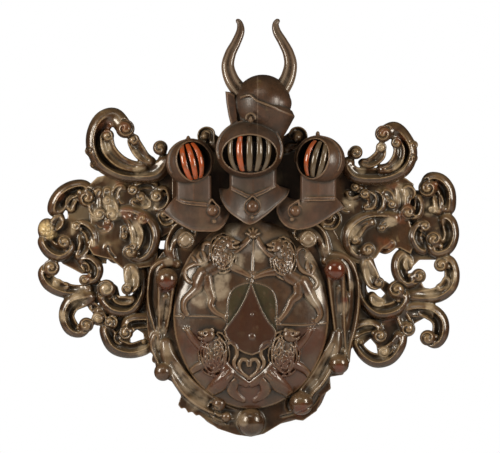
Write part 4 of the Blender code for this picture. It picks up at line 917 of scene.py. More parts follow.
LEFT_WING = [
    ([(56, 218, 7.5), (56, 207, 9.5), (62, 196, 9.5), (73, 189, 9), (84, 188, 8)], (2, 6),
     "gutter", (87, 198, 9.5, 13)),
    ([(72, 214, 4), (70, 203, 6), (76, 195, 5)], (4, 6), "leaf", None),
    ([(61, 213, 5), (57, 222, 7), (52, 230, 8)], (4, 8), "leaf", None),
    ([(44, 234, 7), (45, 243, 8), (52, 251, 9), (61, 254, 8), (69, 248, 6)], (4, 6),
     "gutter", (64, 242, 7, 14)),
    ([(92, 252, 5), (93, 241, 7), (90, 231, 7), (82, 225, 6)], (6, 8), "gutter", (76, 226, 5, 15)),
    ([(72, 257, 5), (81, 253, 6), (84, 243, 6), (80, 234, 4)], (3, 6), "leaf", None),
    ([(94, 289, 7), (78, 292, 7), (62, 290, 8), (49, 283, 8), (44, 273, 7)], (2, 4),
     "gutter", (51, 268, 8.5, 13)),
    ([(70, 286, 4), (61, 286, 5), (53, 280, 5)], (5, 9), "leaf", None),
    ([(76, 261, 5), (88, 260, 6), (96, 268, 7), (94, 278, 6)], (3, 5), "gutter", (84, 280, 5.5, 13)),
    ([(79, 264, 3), (85, 267, 4.5), (86, 273, 3)], (5, 7), "leaf", None),
    ([(97, 296, 6), (83, 299, 8.5), (71, 304, 9), (66, 316, 8), (71, 328, 8), (80, 332, 6)], (3, 6),
     "gutter", (86, 325, 7.5, 14)),
    ([(88, 303, 5), (94, 308, 5), (97, 314, 4)], (4, 6), "leaf", None),
    ([(96, 306, 5), (100, 318, 7)], (4, 5), "leaf", (98, 319, 7, 11)),
    ([(140, 265, 6), (141, 281, 6), (139, 296, 7), (129, 309, 8), (114, 308, 9), (104, 299, 7)], (3, 4),
     "gutter", (106, 289, 9.5, 12)),
    ([(136, 298, 4), (127, 301, 5), (118, 300, 4.5), (114, 295, 3)], (7, 9), "leaf", None),
    ([(128, 262, 6), (131, 273, 8), (132, 284, 8)], (8, 9), "leaf", (127, 289, 6, 14)),
    ([(106, 322, 6), (107, 333, 8), (115, 346, 9), (130, 351, 8), (145, 347, 8), (150, 342, 4)], (4, 2),
     "gutter", None),
    ([(110, 330, 5), (112, 322, 6)], (6, 9), "leaf", (109, 322, 5.5, 13)),
    ([(156, 322, 7), (142, 321, 8), (130, 323, 8)], (2, 6), "gutter", (126, 333, 7, 14)),
    ([(122, 346, 4), (118, 339, 5), (119, 331, 4)], (4, 7), "leaf", None),
    ([(114, 213, 6), (130, 213, 8), (146, 222, 9), (152, 236, 9), (148, 251, 8), (138, 258, 6)], (10, 9),
     "gutter", (130, 252, 7, 21)),
    ([(120, 212, 4), (131, 221, 6), (137, 234, 7), (136, 245, 5)], (13, 15), "leaf", (133, 247, 4.5, 21)),
    ([(128, 214, 3), (137, 216, 4)], (17, 19), "leaf", (143, 219, 5.5, 25)),
    ([(123, 225, 3), (125, 232, 3.5), (124, 238, 3)], (14, 15), "leaf", (124, 236, 3.5, 19)),
    ([(103, 186, 6), (96, 197, 7), (95, 209, 7)], (8, 10), "leaf", (100, 214, 6, 19)),
    ([(111, 196, 4), (113, 207, 6)], (12, 14), "leaf", (112, 215, 6, 21)),
    ([(93, 220, 4), (99, 229, 5), (108, 227, 5)], (9, 11), "leaf", (108, 221, 4, 19)),
    ([(108, 186, 4), (107, 193, 4)], (13, 15), "leaf", (107, 200, 4.5, 21)),
    ([(128, 190, 3), (121, 187, 4), (116, 191, 4), (115, 199, 4), (120, 206, 4), (128, 205, 3)], (13, 13),
     "leaf", None),
    ([(160, 186, 5), (149, 184, 5), (140, 185, 5)], (12, 14), "gutter", (133, 190, 5.5, 23)),
    ([(131, 199, 4), (137, 204, 4.5), (147, 204, 5)], (13, 13), "leaf", (141, 197, 5, 22)),
    ([(152, 209, 4), (162, 207, 5), (167, 199, 5), (164, 190, 5)], (11, 12), "gutter", (157, 196, 6.5, 20)),
    ([(107, 240, 7), (110, 252, 7), (120, 262, 6)], (8, 5), "leaf", None),
    ([(176, 213, 3.5), (172, 220, 4), (165, 222, 4), (161, 216, 3.5)], (14, 14), "leaf", (164, 214, 4, 20)),
]
RIGHT_WING = [
    ([(447, 216, 7), (448, 204, 9), (447, 191, 9), (440, 182, 9), (431, 180, 8)], (2, 6),
     "gutter", (428, 188, 9.5, 13)),
    ([(437, 216, 5), (439, 203, 6), (436, 193, 5)], (4, 6), "leaf", None),
    ([(440, 216, 6), (449, 222, 8), (452, 235, 8), (447, 247, 8), (436, 250, 8)], (3, 6),
     "gutter", (434, 239, 8, 14)),
    ([(430, 252, 5), (420, 247, 7), (415, 237, 7), (419, 227, 6)], (5, 8), "gutter", (425, 226, 5.5, 15)),
    ([(426, 247, 4), (423, 240, 5), (419, 234, 4)], (4, 6), "leaf", None),
    ([(407, 250, 6), (400, 260, 8), (400, 273, 8), (408, 282, 7)], (4, 6), "gutter", (419, 276, 7.5, 13)),
    ([(408, 255, 4), (408, 264, 5.5), (410, 271, 4)], (7, 9), "leaf", None),
    ([(404, 296, 6), (420, 297, 7), (438, 295, 8), (450, 286, 8), (452.7, 273, 7.8), (449, 262, 7)], (3, 5),
     "gutter", (441, 265, 7, 14)),
    ([(436, 290, 4), (445, 285, 5), (448, 276, 4)], (7, 9), "leaf", None),
    ([(363, 272, 6), (361, 289, 6), (367, 303, 7), (380, 312, 8), (396, 309, 8), (404, 299, 7)], (3, 5),
     "gutter", (397, 290, 9.5, 12)),
    ([(370, 292, 4), (376, 301, 5.5), (385, 303, 4.5)], (6, 8), "leaf", None),
    ([(365, 254, 7), (369, 270, 8), (374, 282, 8)], (8, 9), "leaf", (379, 283, 6, 14)),
    ([(398, 314, 6), (412, 310, 8), (429, 311, 8.5), (440, 320, 8.5), (441, 333, 8.5), (436, 342, 7)], (3, 6),
     "gutter", (428, 338, 8, 14)),
    ([(416, 313, 4), (427, 314, 5), (433, 320, 4)], (6, 8), "leaf", None),
    ([(398, 307, 6), (404, 319, 7)], (4, 6), "leaf", (408, 329, 8, 11)),
    ([(402, 330, 6), (399, 344, 8), (390, 357, 8), (377, 361, 7.5), (366, 356, 6.5), (358, 346, 5.5),
      (356, 338, 5)], (5, 3), "gutter", None),
    ([(350, 340, 6), (357, 330, 7), (368, 326, 7), (376, 328, 6)], (2, 6), "gutter", (380, 336, 7, 14)),
    ([(396, 340, 4), (391, 348, 5)], (6, 7), "leaf", (384, 352, 6, 12)),
    ([(402, 219, 6), (382, 217, 7), (365, 220, 8), (352, 231, 9), (351, 245, 8), (359, 255, 6)], (10, 9),
     "gutter", (368, 250, 7, 21)),
    ([(376, 221, 4), (364, 225, 5), (356, 235, 5.5), (357, 241, 4)], (13, 15), "leaf", (355, 240, 4.5, 21)),
    ([(392, 221, 3), (386, 224, 3.5)], (13, 15), "leaf", (382, 228, 3.5, 19)),
    ([(388, 184, 4), (397, 188, 5), (401, 199, 6), (399, 210, 5), (391, 222, 4)], (10, 12), "leaf", None),
    ([(381, 190, 4), (389, 195, 4.5)], (14, 15), "leaf", (392, 204, 4.5, 20)),
    ([(400, 187, 5), (409, 192, 7), (410, 200, 5)], (10, 12), "leaf", None),
    ([(416, 194, 4), (420, 204, 5), (417, 214, 6)], (9, 11), "gutter", (408, 212, 7.5, 17)),
    ([(434, 206, 5), (431, 213, 6)], (8, 9), "leaf", None),
    ([(374, 190, 4), (381, 196, 5), (381, 206, 6), (374, 213, 6)], (11, 12), "gutter", None),
    ([(362, 208, 4), (370, 206, 5), (372, 198, 5)], (13, 14), "leaf", (365, 194, 5, 22)),
    ([(346, 189, 4), (350, 196, 4.5), (357, 195, 4.5), (362, 190, 4)], (12, 13),
     "gutter", (355, 187, 4.5, 22)),
    ([(340, 199, 4), (343, 206, 4.5), (352, 210, 5)], (11, 12), "leaf", None),
    ([(396, 238, 7), (388, 246, 7), (379, 251, 6)], (8, 5), "leaf", None),
    ([(320, 220, 3.5), (325, 226, 4), (333, 226, 4), (337, 219, 4), (333, 213, 3.5)], (14, 14), "leaf",
     (329, 216, 4, 20)),
]
LEFT_BOARD = [
    (97, 177), (120, 172), (150, 165), (175, 168), (175, 230), (160, 238), (158, 251), (156, 266),
    (140, 268), (124, 270), (112, 260), (93, 255), (88, 247), (92, 235), (90, 215), (93, 195), (90, 184),
]
# Lower webs that fill the boards out between their scrolls.
WEB_RISE = 8
LEFT_WEBS = [
    [(48, 219), (70, 219), (70, 242), (52, 242)],
    [(150, 226), (174, 226), (172, 240), (148, 242)],
    [(146, 249), (168, 249), (160, 266), (146, 266)],
    [(138, 262), (156, 262), (152, 280), (140, 280)],
    [(90, 280), (102, 284), (104, 304), (92, 302)],
    [(86, 249), (104, 249), (106, 264), (90, 262)],
    [(67, 200), (72, 192), (93, 192), (93, 258), (60, 258), (50, 246), (57, 230), (67, 221)],
    [(56, 256), (94, 256), (94, 274), (81, 274), (72, 269), (62, 264)],
    [(100, 254), (110, 256), (106, 260), (98, 262)],
    [(110, 281), (117, 287), (120, 299), (110, 300)],
    [(136, 296), (146, 296), (146, 318), (136, 314)],
    [(101, 311), (122, 312), (122, 320), (129, 330), (130, 342), (124, 346), (108, 336)],
    [(122, 318), (151, 318), (151, 346), (144, 343), (143, 334), (137, 330), (130, 334), (124, 334)],
]
RIGHT_WEBS = [
    [(350, 258), (366, 258), (364, 282), (352, 280)],
    [(400, 190), (424, 190), (426, 230), (400, 234)],
    [(417, 190), (442, 190), (444, 216), (414, 216)],
    [(412, 216), (446, 218), (444, 246), (416, 248)],
    [(402, 246), (452, 246), (437, 260), (420, 260), (414, 266), (404, 274)],
    [(400, 280), (422, 282), (425, 288), (438, 290), (408, 296)],
    [(378, 283), (386, 281), (398, 290), (394, 304), (372, 302), (382, 298), (386, 294), (382, 290)],
    [(354, 302), (374, 308), (374, 322), (356, 324)],
    [(354, 322), (400, 314), (406, 324), (398, 344), (388, 354), (379, 358), (377, 346), (371, 339),
     (364, 345), (354, 345)],
    [(402, 310), (432, 312), (424, 319), (415, 324), (412, 336), (402, 330)],
]
RIGHT_BOARD = [
    (406, 178), (386, 174), (350, 165), (328, 168), (328, 240), (342, 260), (360, 264), (376, 258),
    (382, 249), (400, 248), (411, 254), (415, 240), (408, 215), (412, 195), (414, 184),
]

mantling_wood = wood("mantling_walnut", stain=(0.022, 0.0115, 0.0055), worn=(0.082, 0.039, 0.018),
                     dust_and_light=(0.25, 0.185, 0.1), dust_and_light_share=0.6, wear=0.6, polish=0.24, bump=0.45)
tinted(mantling_wood, "old_red", (0.12, 0.04, 0.016), 0.5)
tinted(mantling_wood, "dust_grey", (0.31, 0.25, 0.17), 0.66)
tinted(mantling_wood, "bare_wood", (0.36, 0.27, 0.13), 0.95)
rubbed(mantling_wood, "bare_wood", -1.2)
# The broken tip is a rough lump, split along and across its fibres.
BREAK_LUMP = ((46.5, 230, 10), (9.5, 12, 9))
BREAK_CUTS = [([(40, 224), (46, 227), (53, 225)], 0.9, 1.4), ([(39, 230), (46, 232), (54, 230)], 0.8, 1.2),
              ([(41, 236), (48, 237), (54, 235)], 0.8, 1.4), ([(45, 219), (46, 229), (44, 240)], 0.7, 1.2),
              ([(50, 220), (51, 230), (49, 240)], 0.8, 1.2)]
LEFT_AGE = {
    "bare_wood": [(45, 229, 8), (50, 234, 6)],
    "dust_grey": [(108, 205, 10), (97, 214, 7), (116, 216, 6), (137, 228, 8), (135, 240, 6), (130, 277, 10),
                  (98, 178, 6), (78, 300, 9), (62, 316, 6), (143, 352, 7), (53, 281, 6), (92, 243, 4),
                  (150, 203, 8), (107, 289, 6), (95, 317, 5), (70, 228, 5)],
    "old_red": [(142, 219, 8), (127, 213, 7), (108, 226, 6), (60, 196, 5), (120, 182, 5), (96, 250, 4),
                (88, 278, 4)],
}
RIGHT_AGE = {
    "bare_wood": [],
    "dust_grey": [(402, 194, 9), (431, 208, 8), (354, 232, 8), (366, 272, 11), (354, 250, 4), (406, 262, 8),
                  (378, 301, 9), (432, 291, 9), (383, 353, 7), (451, 276, 6), (350, 204, 7), (446, 236, 6),
                  (368, 325, 6), (430, 309, 6), (391, 222, 6)],
    "old_red": [(437, 185, 5), (408, 207, 5), (392, 184, 7), (400, 218, 6), (392, 320, 6), (385, 246, 8)],
}
for side, board, webs, wing, age in (("left", LEFT_BOARD, LEFT_WEBS, LEFT_WING, LEFT_AGE),
                                     ("right", RIGHT_BOARD, RIGHT_WEBS, RIGHT_WING, RIGHT_AGE)):
    wing_shells = [slab(board, BEHIND, BOARD_RISE - 1)] + [slab(web, BEHIND, WEB_RISE) for web in webs]
    wing_shells += carved_rolls(wing)
    if side == "left":
        wing_shells.append(globe(*BREAK_LUMP))
    wing_piece = grown_together(f"mantling_{side}_carving", wing_shells)
    incised(wing_piece, roll_lines(wing) + (BREAK_CUTS if side == "left" else []))
    for zone, spots in age.items():
        aged(wing_piece, zone, spots)
    dressed(wing_piece, mantling_wood, f"mantling_{side}")


# The top scrolls.
# A large C scroll stands on each wing's board, glued down and with a dark joint under it. It carries a
# ball in its curl, leaf tongues on its inner side and a second curl by the helmet.

# The joint on the boards, on which the scrolls and the helmets sit.
SEAT = 17.15
LEFT_TOP_SCROLL = [
    ([(164, 153, 6), (164, 163, 8), (156, 173, 9), (140, 175, 9), (121, 173, 9), (104, 163, 10),
      (97, 149, 10.5), (97, 134, 10.5), (104, 121, 10.5), (115, 117, 9)], (0, 3),
     "gutter", (125.5, 129, 9.5, 15)),
    ([(150, 164, 5), (136, 167, 6), (121, 162, 7), (110, 151, 7.5), (107, 139, 7)], (4, 8), "leaf",
     (108, 136, 6.5, 13)),
    ([(156, 164, 5), (146, 159, 6), (139, 151, 7), (134, 142, 6.5)], (4, 8), "leaf", (134, 140, 6, 13)),
    ([(164, 156, 5), (161, 149, 6)], (5, 8), "leaf", (160.5, 148, 7.5, 13)),
    ([(100, 159, 4), (93, 154, 5)], (4, 4), "leaf", (90, 151, 5, 10)),
    ([(102, 169, 4), (96, 166, 4)], (3, 3), "leaf", (94, 164.5, 4.2, 8)),
]
RIGHT_TOP_SCROLL = [
    ([(352, 157, 6), (348, 166, 7), (355, 175, 8.5), (371, 177, 9), (388, 175, 9.5), (402, 167, 10),
      (408, 153, 9.5), (403, 139, 9), (394, 130, 8.5)], (0, 3), "gutter", (383, 134, 8.5, 15)),
    ([(376, 170, 5), (389, 168, 6), (397, 160, 6.5), (399, 150, 6)], (4, 8), "leaf", (396, 143, 5.5, 13)),
    ([(358, 162, 4), (369, 163, 5.5), (379, 156, 6)], (4, 8), "leaf", (381, 147.5, 5.5, 13)),
    ([(352, 160, 5), (353, 154, 6)], (5, 8), "leaf", (355.5, 152.5, 7, 13)),
    ([(407, 150, 4), (412, 145, 4.5)], (5, 5), "leaf", (413.5, 145, 4.4, 11)),
    ([(408, 166, 4), (412, 160, 4.5)], (4, 4), "leaf", (413.5, 158, 4.2, 10)),
]
for side, scroll in (("left", LEFT_TOP_SCROLL), ("right", RIGHT_TOP_SCROLL)):
    scroll_piece = grown_together(f"top_scroll_{side}_carving", carved_rolls(scroll, SEAT - 3), 0.0014,
                                  back=SEAT)
    incised(scroll_piece, roll_lines(scroll))
    aged(scroll_piece, "dust_grey", [(136, 154, 5), (106, 149, 6), (140, 172, 7), (379, 147, 5),
                                     (361, 168, 6), (398, 166, 7)])
    aged(scroll_piece, "old_red", [(126, 127, 6), (105, 128, 8), (383, 131, 6), (400, 140, 5)])
    dressed(scroll_piece, mantling_wood, f"top_scroll_{side}")


# The helmets.
# Three tournament helmets, each turned from its own block: a hollow skull with a barred window, a neck with
# a front keel, and a gorget with a polished ball in a drop-shaped ring. Old orange paint stays on some bars.

# Each helmet: the skull's middle (across, down), its radii (across, down, out) and rise over its seat, its
# turn and lean in degrees; the window (beside and below that middle, half width, half height); the bars
# (count, pitch in degrees, first and last painted, half width in metres); the neck (middle, top, half width,
# depth, rise); the collar's line; the gorget's rim and the ball and bead in front of it, with their heights
# over the seat; the point of the drop-shaped ring; and the bump on the skull's top.
HELMETS = {
    "left": {
        "skull": (190, 162), "radii": (24, 23, 24), "rise": 15, "turn": 8, "lean": 14,
        "window": (2.5, 0.5, 17, 19.5), "bars": (3, 22.0, 0, 2, 0.0055),
        "neck": (194, 176, 17.5, 13, 11),
        "collar": [(176, 197), (184, 201), (195, 202.5), (207, 203.5)],
        "rim": [(163, 212, 6), (172, 219, 9), (182, 225, 13), (193, 230, 16), (205, 231, 18),
                (217, 230, 18), (225, 223, 16), (229, 214, 12), (230, 205, 8)],
        "ball": (212.5, 210.5, 5.8, 19), "drop": (212, 199), "bead": (214.5, 221.5, 2.3, 21),
        "bump": (188.5, 139),
    },
    "center": {
        "skull": (249.5, 150), "radii": (34, 30, 32), "rise": 22, "turn": 0, "lean": 0,
        "window": (0, 5, 26.5, 18.5), "bars": (5, 19.5, 1, 1, 0.0062),
        "neck": (253, 166, 23.5, 16, 16),
        "collar": [(231, 187), (241, 192), (250, 195.5), (262, 191.5), (276, 184)],
        "rim": [(219, 188, 7), (221, 199, 12), (228, 210, 20), (238, 218, 28), (250, 224, 33),
                (263, 217, 28), (275, 207, 20), (286, 197, 12), (290, 189, 7)],
        "ball": (252.5, 206.5, 6.4, 33), "drop": (252.5, 196), "bead": (252.3, 217.5, 1.9, 35),
    },
    "right": {
        "skull": (320, 160), "radii": (25, 24, 24), "rise": 15, "turn": -16, "lean": -13,
        "window": (-3.5, 0.5, 16.5, 19.5), "bars": (3, 22.0, 0, 0, 0.0055),
        "neck": (318, 176, 18, 13, 11),
        "collar": [(300, 198), (310, 198), (322, 198), (335, 197.5)],
        "rim": [(284, 196, 8), (277, 207, 12), (279, 217, 16), (287, 226, 18), (299, 229, 18),
                (313, 226, 16), (326, 219, 13), (337, 212, 9), (345, 208, 6)],
        "ball": (295.2, 211, 5.6, 19), "drop": (298.5, 200), "bead": (291.7, 219.4, 2.2, 21),
        "bump": (317.5, 134.5),
    },
}
HELMET_WALL = 3.2
# How far the bars lie inside the skull's face, all round and in depth, in metres.
BAR_INSET = (0.0022, 0.0034)
# Half of the neck's round: (place across, height) as shares of its half width and depth.
NECK_SECTION = [(-1.0, -0.4), (-1.0, 0.45), (-0.96, 0.66), (-0.88, 0.78), (-0.5, 0.93), (0, 1.06),
                (0.5, 0.93), (0.88, 0.78), (0.96, 0.66), (1.0, 0.45), (1.0, -0.4)]
# Turns directions of the frame into directions of the drawing, and back.
FLIPPED = Matrix(((1, 0, 0), (0, 0, -1), (0, -1, 0)))
# Stands a flat arc up, with its bulge towards the front.
UPRIGHT_ARC = Matrix(((0, 0, -1), (-1, 0, 0), (0, 1, 0))).to_euler()


def bar_tree():
    """Bent bars set round an upright axis: a cage that fits inside a helmet's window."""
    tree = bpy.data.node_groups.new("helmet bars", "GeometryNodeTree")
    for kind, names in (("Int", ("Count", "First painted", "Last painted")),
                        ("Float", ("Pitch", "Lowest", "Highest", "Half width")),
                        ("Vector", ("Reach", "Place")), ("Rotation", ("Turn",)), ("Material", ("Material",))):
        for name in names:
            tree.interface.new_socket(name, in_out="INPUT", socket_type="NodeSocket" + kind)
    tree.interface.new_socket("Geometry", in_out="OUTPUT", socket_type="NodeSocketGeometry")
    given = shade(tree, "NodeGroupInput").outputs
    sweep = minus(tree, given["Highest"], given["Lowest"])
    arc = shade(tree, "GeometryNodeCurveArc", {"Resolution": 26, "Radius": 1.0, "Sweep Angle": sweep,
                                               "Start Angle": given["Lowest"]}).outputs["Curve"]
    along = shade(tree, "GeometryNodeSplineParameter").outputs["Factor"]
    from_middle = times(tree, minus(tree, along, 0.5), 2.0)
    narrowed = plus(tree, times(tree, times(tree, from_middle, from_middle), -0.25), 1.0)
    radius = times(tree, narrowed, given["Half width"])
    arc = shade(tree, "GeometryNodeTransform", {"Geometry": arc, "Rotation": UPRIGHT_ARC}).outputs[0]
    bent = shade(tree, "GeometryNodeTransform", {"Geometry": arc, "Scale": given["Reach"]}).outputs[0]
    profile = shade(tree, "GeometryNodeCurvePrimitiveCircle", {"Resolution": 14, "Radius": 1.0}).outputs[0]
    profile = shade(tree, "GeometryNodeTransform", {"Geometry": profile, "Scale": (1.0, 0.5, 1.0)}).outputs[0]
    bar = shade(tree, "GeometryNodeCurveToMesh", {"Curve": bent, "Profile Curve": profile,
                                                  "Scale": radius, "Fill Caps": True}).outputs[0]
    spots = shade(tree, "GeometryNodePoints", {"Count": given["Count"]}).outputs[0]
    number = shade(tree, "GeometryNodeInputIndex").outputs[0]
    middle = times(tree, minus(tree, given["Count"], 1), 0.5)
    angle = times(tree, minus(tree, number, middle), given["Pitch"])
    turned = shade(tree, "ShaderNodeCombineXYZ", {"Z": angle}).outputs[0]
    bars = shade(tree, "GeometryNodeInstanceOnPoints", {"Points": spots, "Instance": bar,
                                                        "Rotation": turned}).outputs[0]
    from_first = times(tree, number, minus(tree, given["First painted"], 0.5), "GREATER_THAN")
    to_last = times(tree, number, plus(tree, given["Last painted"], 0.5), "LESS_THAN")
    painted = shade(tree, "GeometryNodeStoreNamedAttribute", data_type="FLOAT", domain="INSTANCE")
    for key, value in (("Geometry", bars), ("Value", times(tree, from_first, to_last))):
        tree.links.new(value, painted.inputs[key])
    painted.inputs["Name"].default_value = "painted"
    cage = shade(tree, "GeometryNodeTransform", {"Geometry": painted.outputs[0],
                                                 "Translation": given["Place"],
                                                 "Rotation": given["Turn"]}).outputs[0]
    cage = shade(tree, "GeometryNodeRealizeInstances", {"Geometry": cage}).outputs[0]
    cage = shade(tree, "GeometryNodeSetMaterial", {"Geometry": cage,
                                                   "Material": given["Material"]}).outputs[0]
    shade(tree, "NodeGroupOutput", {"Geometry": cage})
    return tree


BAR_TREE = bar_tree()


def grown(name, tree, values):
    """A plain mesh piece grown by a node tree from values given by the names of its inputs."""
    body = placed(name, bpy.data.meshes.new(name))
    nodes = body.modifiers.new("grow", "NODES")
    nodes.node_group = tree
    for item in tree.interface.items_tree:
        if item.in_out == "INPUT":
            nodes[item.identifier] = values[item.name]
    return baked(body)


def hollowed(shell, cutters):
    """One closed shell with other shells cut out of it, as points and faces."""
    body, *tools = [placed("blank", as_mesh("blank", [form])) for form in (shell, *cutters)]
    turned_out(body.data)
    for tool in tools:
        turned_out(tool.data)
        cut = body.modifiers.new("cut", "BOOLEAN")
        cut.object = tool
        cut.operation = "DIFFERENCE"
        cut.solver = "MANIFOLD"
    baked(body)
    result = np.stack(squares_of(body), -1), [tuple(face.vertices) for face in body.data.polygons]
    for used_up in [body] + tools:
        bpy.data.objects.remove(used_up)
    return result


def posed(points, centre, pose):
    """Points given about a helmet's own middle, turned and leaned with it."""
    return np.asarray(points, float) @ pose.T + np.array(centre)


def draped(collar, rim, seat):
    """A plate that falls from a collar line and flares out to its rim, solid back to its seat."""
    lines = [smooth_path(line, 12) for line in (collar, rim)]
    upper, lower = [line[np.linspace(0, len(line) - 1, 41).round().astype(int)] for line in lines]
    rings = []
    for above, below in zip(upper, lower):
        front = []
        for share in np.linspace(0, 1, 9):
            spot = above + (below - above) * share
            spot[2] = below[2] + (above[2] - below[2]) * (1 - share) ** 1.6
            front.append(spot)
        lip = below + (below - above) * 0.03 + (0, 0, 1.0)
        front[-1] = below + (0, 0, 0.9)
        front.append(lip)
        rings.append(front + [(lip[0], lip[1], seat), (above[0], above[1], seat)])
    return lofted(np.array(rings))


bar_wood = wood("helmet_bars", stain=(0.014, 0.009, 0.006), worn=(0.07, 0.048, 0.034),
                dust_and_light=(0.11, 0.082, 0.048), dust_and_light_share=0.25, wear=0.4, polish=0.2, bump=0.3)
tinted(bar_wood, "painted", (0.25, 0.05, 0.012), 1.0)
helmet_wood = wood("helmet_walnut", stain=(0.034, 0.017, 0.009), worn=(0.11, 0.046, 0.022),
                   dust_and_light=(0.14, 0.1, 0.058), dust_and_light_share=0.4, wear=0.6, polish=0.52, bump=0.5, coat=0.05)
rubbed(helmet_wood, "hand_polish", 0.55)
# Inside a skull there is next to no light: its inner wall is painted nearly black as shade.
INNER_SHADE = (0.006, 0.004, 0.003)
tinted(helmet_wood, "dark", INNER_SHADE, 0.92)
HELMET_POLISH = [(190, 152, 20), (318, 152, 22), (213, 211, 5), (252, 207, 6), (294, 211, 5), (222, 140, 6),
                 (283, 140, 6)]


def helmet_shells(form):
    """Skull, rims, neck, collar beads, gorget and pendants of one helmet."""
    around = (Matrix.Rotation(-math.radians(form["lean"]), 3, "Y")
              @ Matrix.Rotation(math.radians(form["turn"]), 3, "Z"))
    pose = np.array(FLIPPED @ around @ FLIPPED)
    radii = np.array(form["radii"], float)
    centre = (*form["skull"], SEAT + form["rise"])
    cavity = globe(centre, radii - HELMET_WALL, pose, 40, 24)
    beside, below, wide, tall = form["window"]
    turns = np.linspace(0, 2 * math.pi, 48, endpoint=False)
    oval = [(beside + wide * math.cos(turn), below + tall * math.sin(turn)) for turn in turns]
    window = lofted(np.array([posed([(*spot, reach) for spot in oval], centre, pose)
                              for reach in (0.25 * radii[2], 1.4 * radii[2])]))
    shells = [hollowed(globe(centre, radii, pose, 64, 40), [cavity, window])]

    def on_skull(share_across, share_down, proud):
        rest = max(0.0, 1 - share_across ** 2 - share_down ** 2)
        return radii * (share_across, share_down, math.sqrt(rest)) * (1 + proud)

    # A bead runs over the brow from cheek to cheek, and a finer one round the window.
    brow = [on_skull(0.93 * math.cos(turn), -0.93 * math.sin(turn), 0.02)
            for turn in np.linspace(-0.35, math.pi + 0.35, 17)]
    shells.append(rod(posed(brow, centre, pose), 1.1, 4))
    edge = [on_skull((beside + (wide + 1.2) * math.cos(turn)) / radii[0],
                     (below + (tall + 1.2) * math.sin(turn)) / radii[1], 0.0)
            for turn in np.linspace(0, 2 * math.pi, 25)]
    shells.append(rod(posed(edge, centre, pose), 0.6, 3))

    middle, top, half, depth, neck_rise = form["neck"]
    beads_across, beads_down = zip(*form["collar"])
    rings = []
    for share in np.linspace(0, 1, 5):
        ring = []
        for side, front in NECK_SECTION:
            last = np.interp(middle + half * side, beads_across, beads_down) + 2
            ring.append((middle + half * side, top + share * (last - top), SEAT + neck_rise + depth * front))
        rings.append(ring)
    shells.append(lofted(np.array(rings)))

    def proud_of_neck(across, proud):
        sides, fronts = zip(*NECK_SECTION[1:-1])
        return SEAT + neck_rise + depth * np.interp((across - middle) / half, sides, fronts) + proud

    # Two beads lie on the neck's foot, and the gorget falls from under them with its ball in a drop.
    for lower, proud in ((0, 1.2), (2.6, 1.8)):
        collar = [(across, down + lower, proud_of_neck(across, proud)) for across, down in form["collar"]]
        shells.append(rod(collar, 0.85, 6))
    collar = [(across, down + 1, proud_of_neck(across, 1.0)) for across, down in form["collar"]]
    ends = [(collar[0][0] - 3, collar[0][1] + 1, SEAT + 8), (collar[-1][0] + 3, collar[-1][1] + 1, SEAT + 8)]
    rim = [(across, down, SEAT + height) for across, down, height in form["rim"]]
    shells.append(draped([ends[0]] + collar + [ends[1]], rim, SEAT - 1))
    across, down, radius, height = form["ball"]
    shells.append(globe((across, down, SEAT + height), (radius,) * 3))
    ring = [(across + (radius + 1.6) * math.sin(turn), down - (radius + 1.6) * math.cos(turn),
             SEAT + height + 1.2 + 1.5 * math.cos(turn))
            for turn in np.linspace(0.5, 2 * math.pi - 0.5, 15)]
    point = (*form["drop"], SEAT + height + 2.5)
    shells.append(rod([point] + ring + [point], 0.9, 4))
    across, down, radius, height = form["bead"]
    shells.append(globe((across, down, SEAT + height), (radius,) * 3, None, 16, 10))
    return shells, centre, around, pose


def dark_inside(body, form, centre, pose):
    """Marks the skull's inner wall, which is painted nearly black as shade."""
    spots = np.stack(squares_of(body), -1) - centre
    local = spots @ pose / (np.array(form["radii"]) - HELMET_WALL + 1.4)
    mark(body, "dark", (np.linalg.norm(local, axis=1) < 1).astype(float))


def helmet_bars(side, form, centre, around):
    """The cage of one helmet, as its own piece, which hides the helmet's imported part too."""
    count, pitch, first, last, half = form["bars"]
    _, below, _, tall = form["window"]
    radii = np.array(form["radii"]) * SQUARE
    beside, behind = BAR_INSET
    lowest, highest = [math.asin(min(1, reach / form["radii"][1]) * 0.93)
                       for reach in (below + tall, tall - below)]
    values = {
        "Count": count, "Pitch": math.radians(pitch), "Lowest": -lowest, "Highest": highest,
        "Reach": (radii[0] - beside, radii[2] - behind, radii[1] - beside),
        "Half width": half, "First painted": first, "Last painted": last,
        "Place": metres(centre).tolist(), "Turn": around.to_euler(), "Material": bar_wood,
    }
    dressed(grown(f"helmet_{side}_bars", BAR_TREE, values), bar_wood, f"helmet_{side}")


for side in ("left", "right"):
    form = HELMETS[side]
    shells, centre, around, pose = helmet_shells(form)
    shells.append(globe((*form["bump"], SEAT + form["rise"]), (2.2, 3.2, 2.2), None, 16, 10))
    body = grown_together(f"helmet_{side}_carving", shells, soften=2, back=SEAT)
    dark_inside(body, form, centre, pose)
    aged(body, "hand_polish", HELMET_POLISH)
    dressed(body, helmet_wood, f"helmet_{side}")
    helmet_bars(side, form, centre, around)


# The crest's hat.
# A domed hat in a flared, tilted band, turned from the middle helmet's block: the same glue line runs through
# both. A plate stands off its left side.

HAT_RISE = SEAT + 24
HAT_MIDDLE = (263, 118)
HAT_TILT = math.radians(20)
HAT_AXIS = np.array([math.sin(HAT_TILT), -math.cos(HAT_TILT)])
HAT_SIDE = np.array([math.cos(HAT_TILT), math.sin(HAT_TILT)])
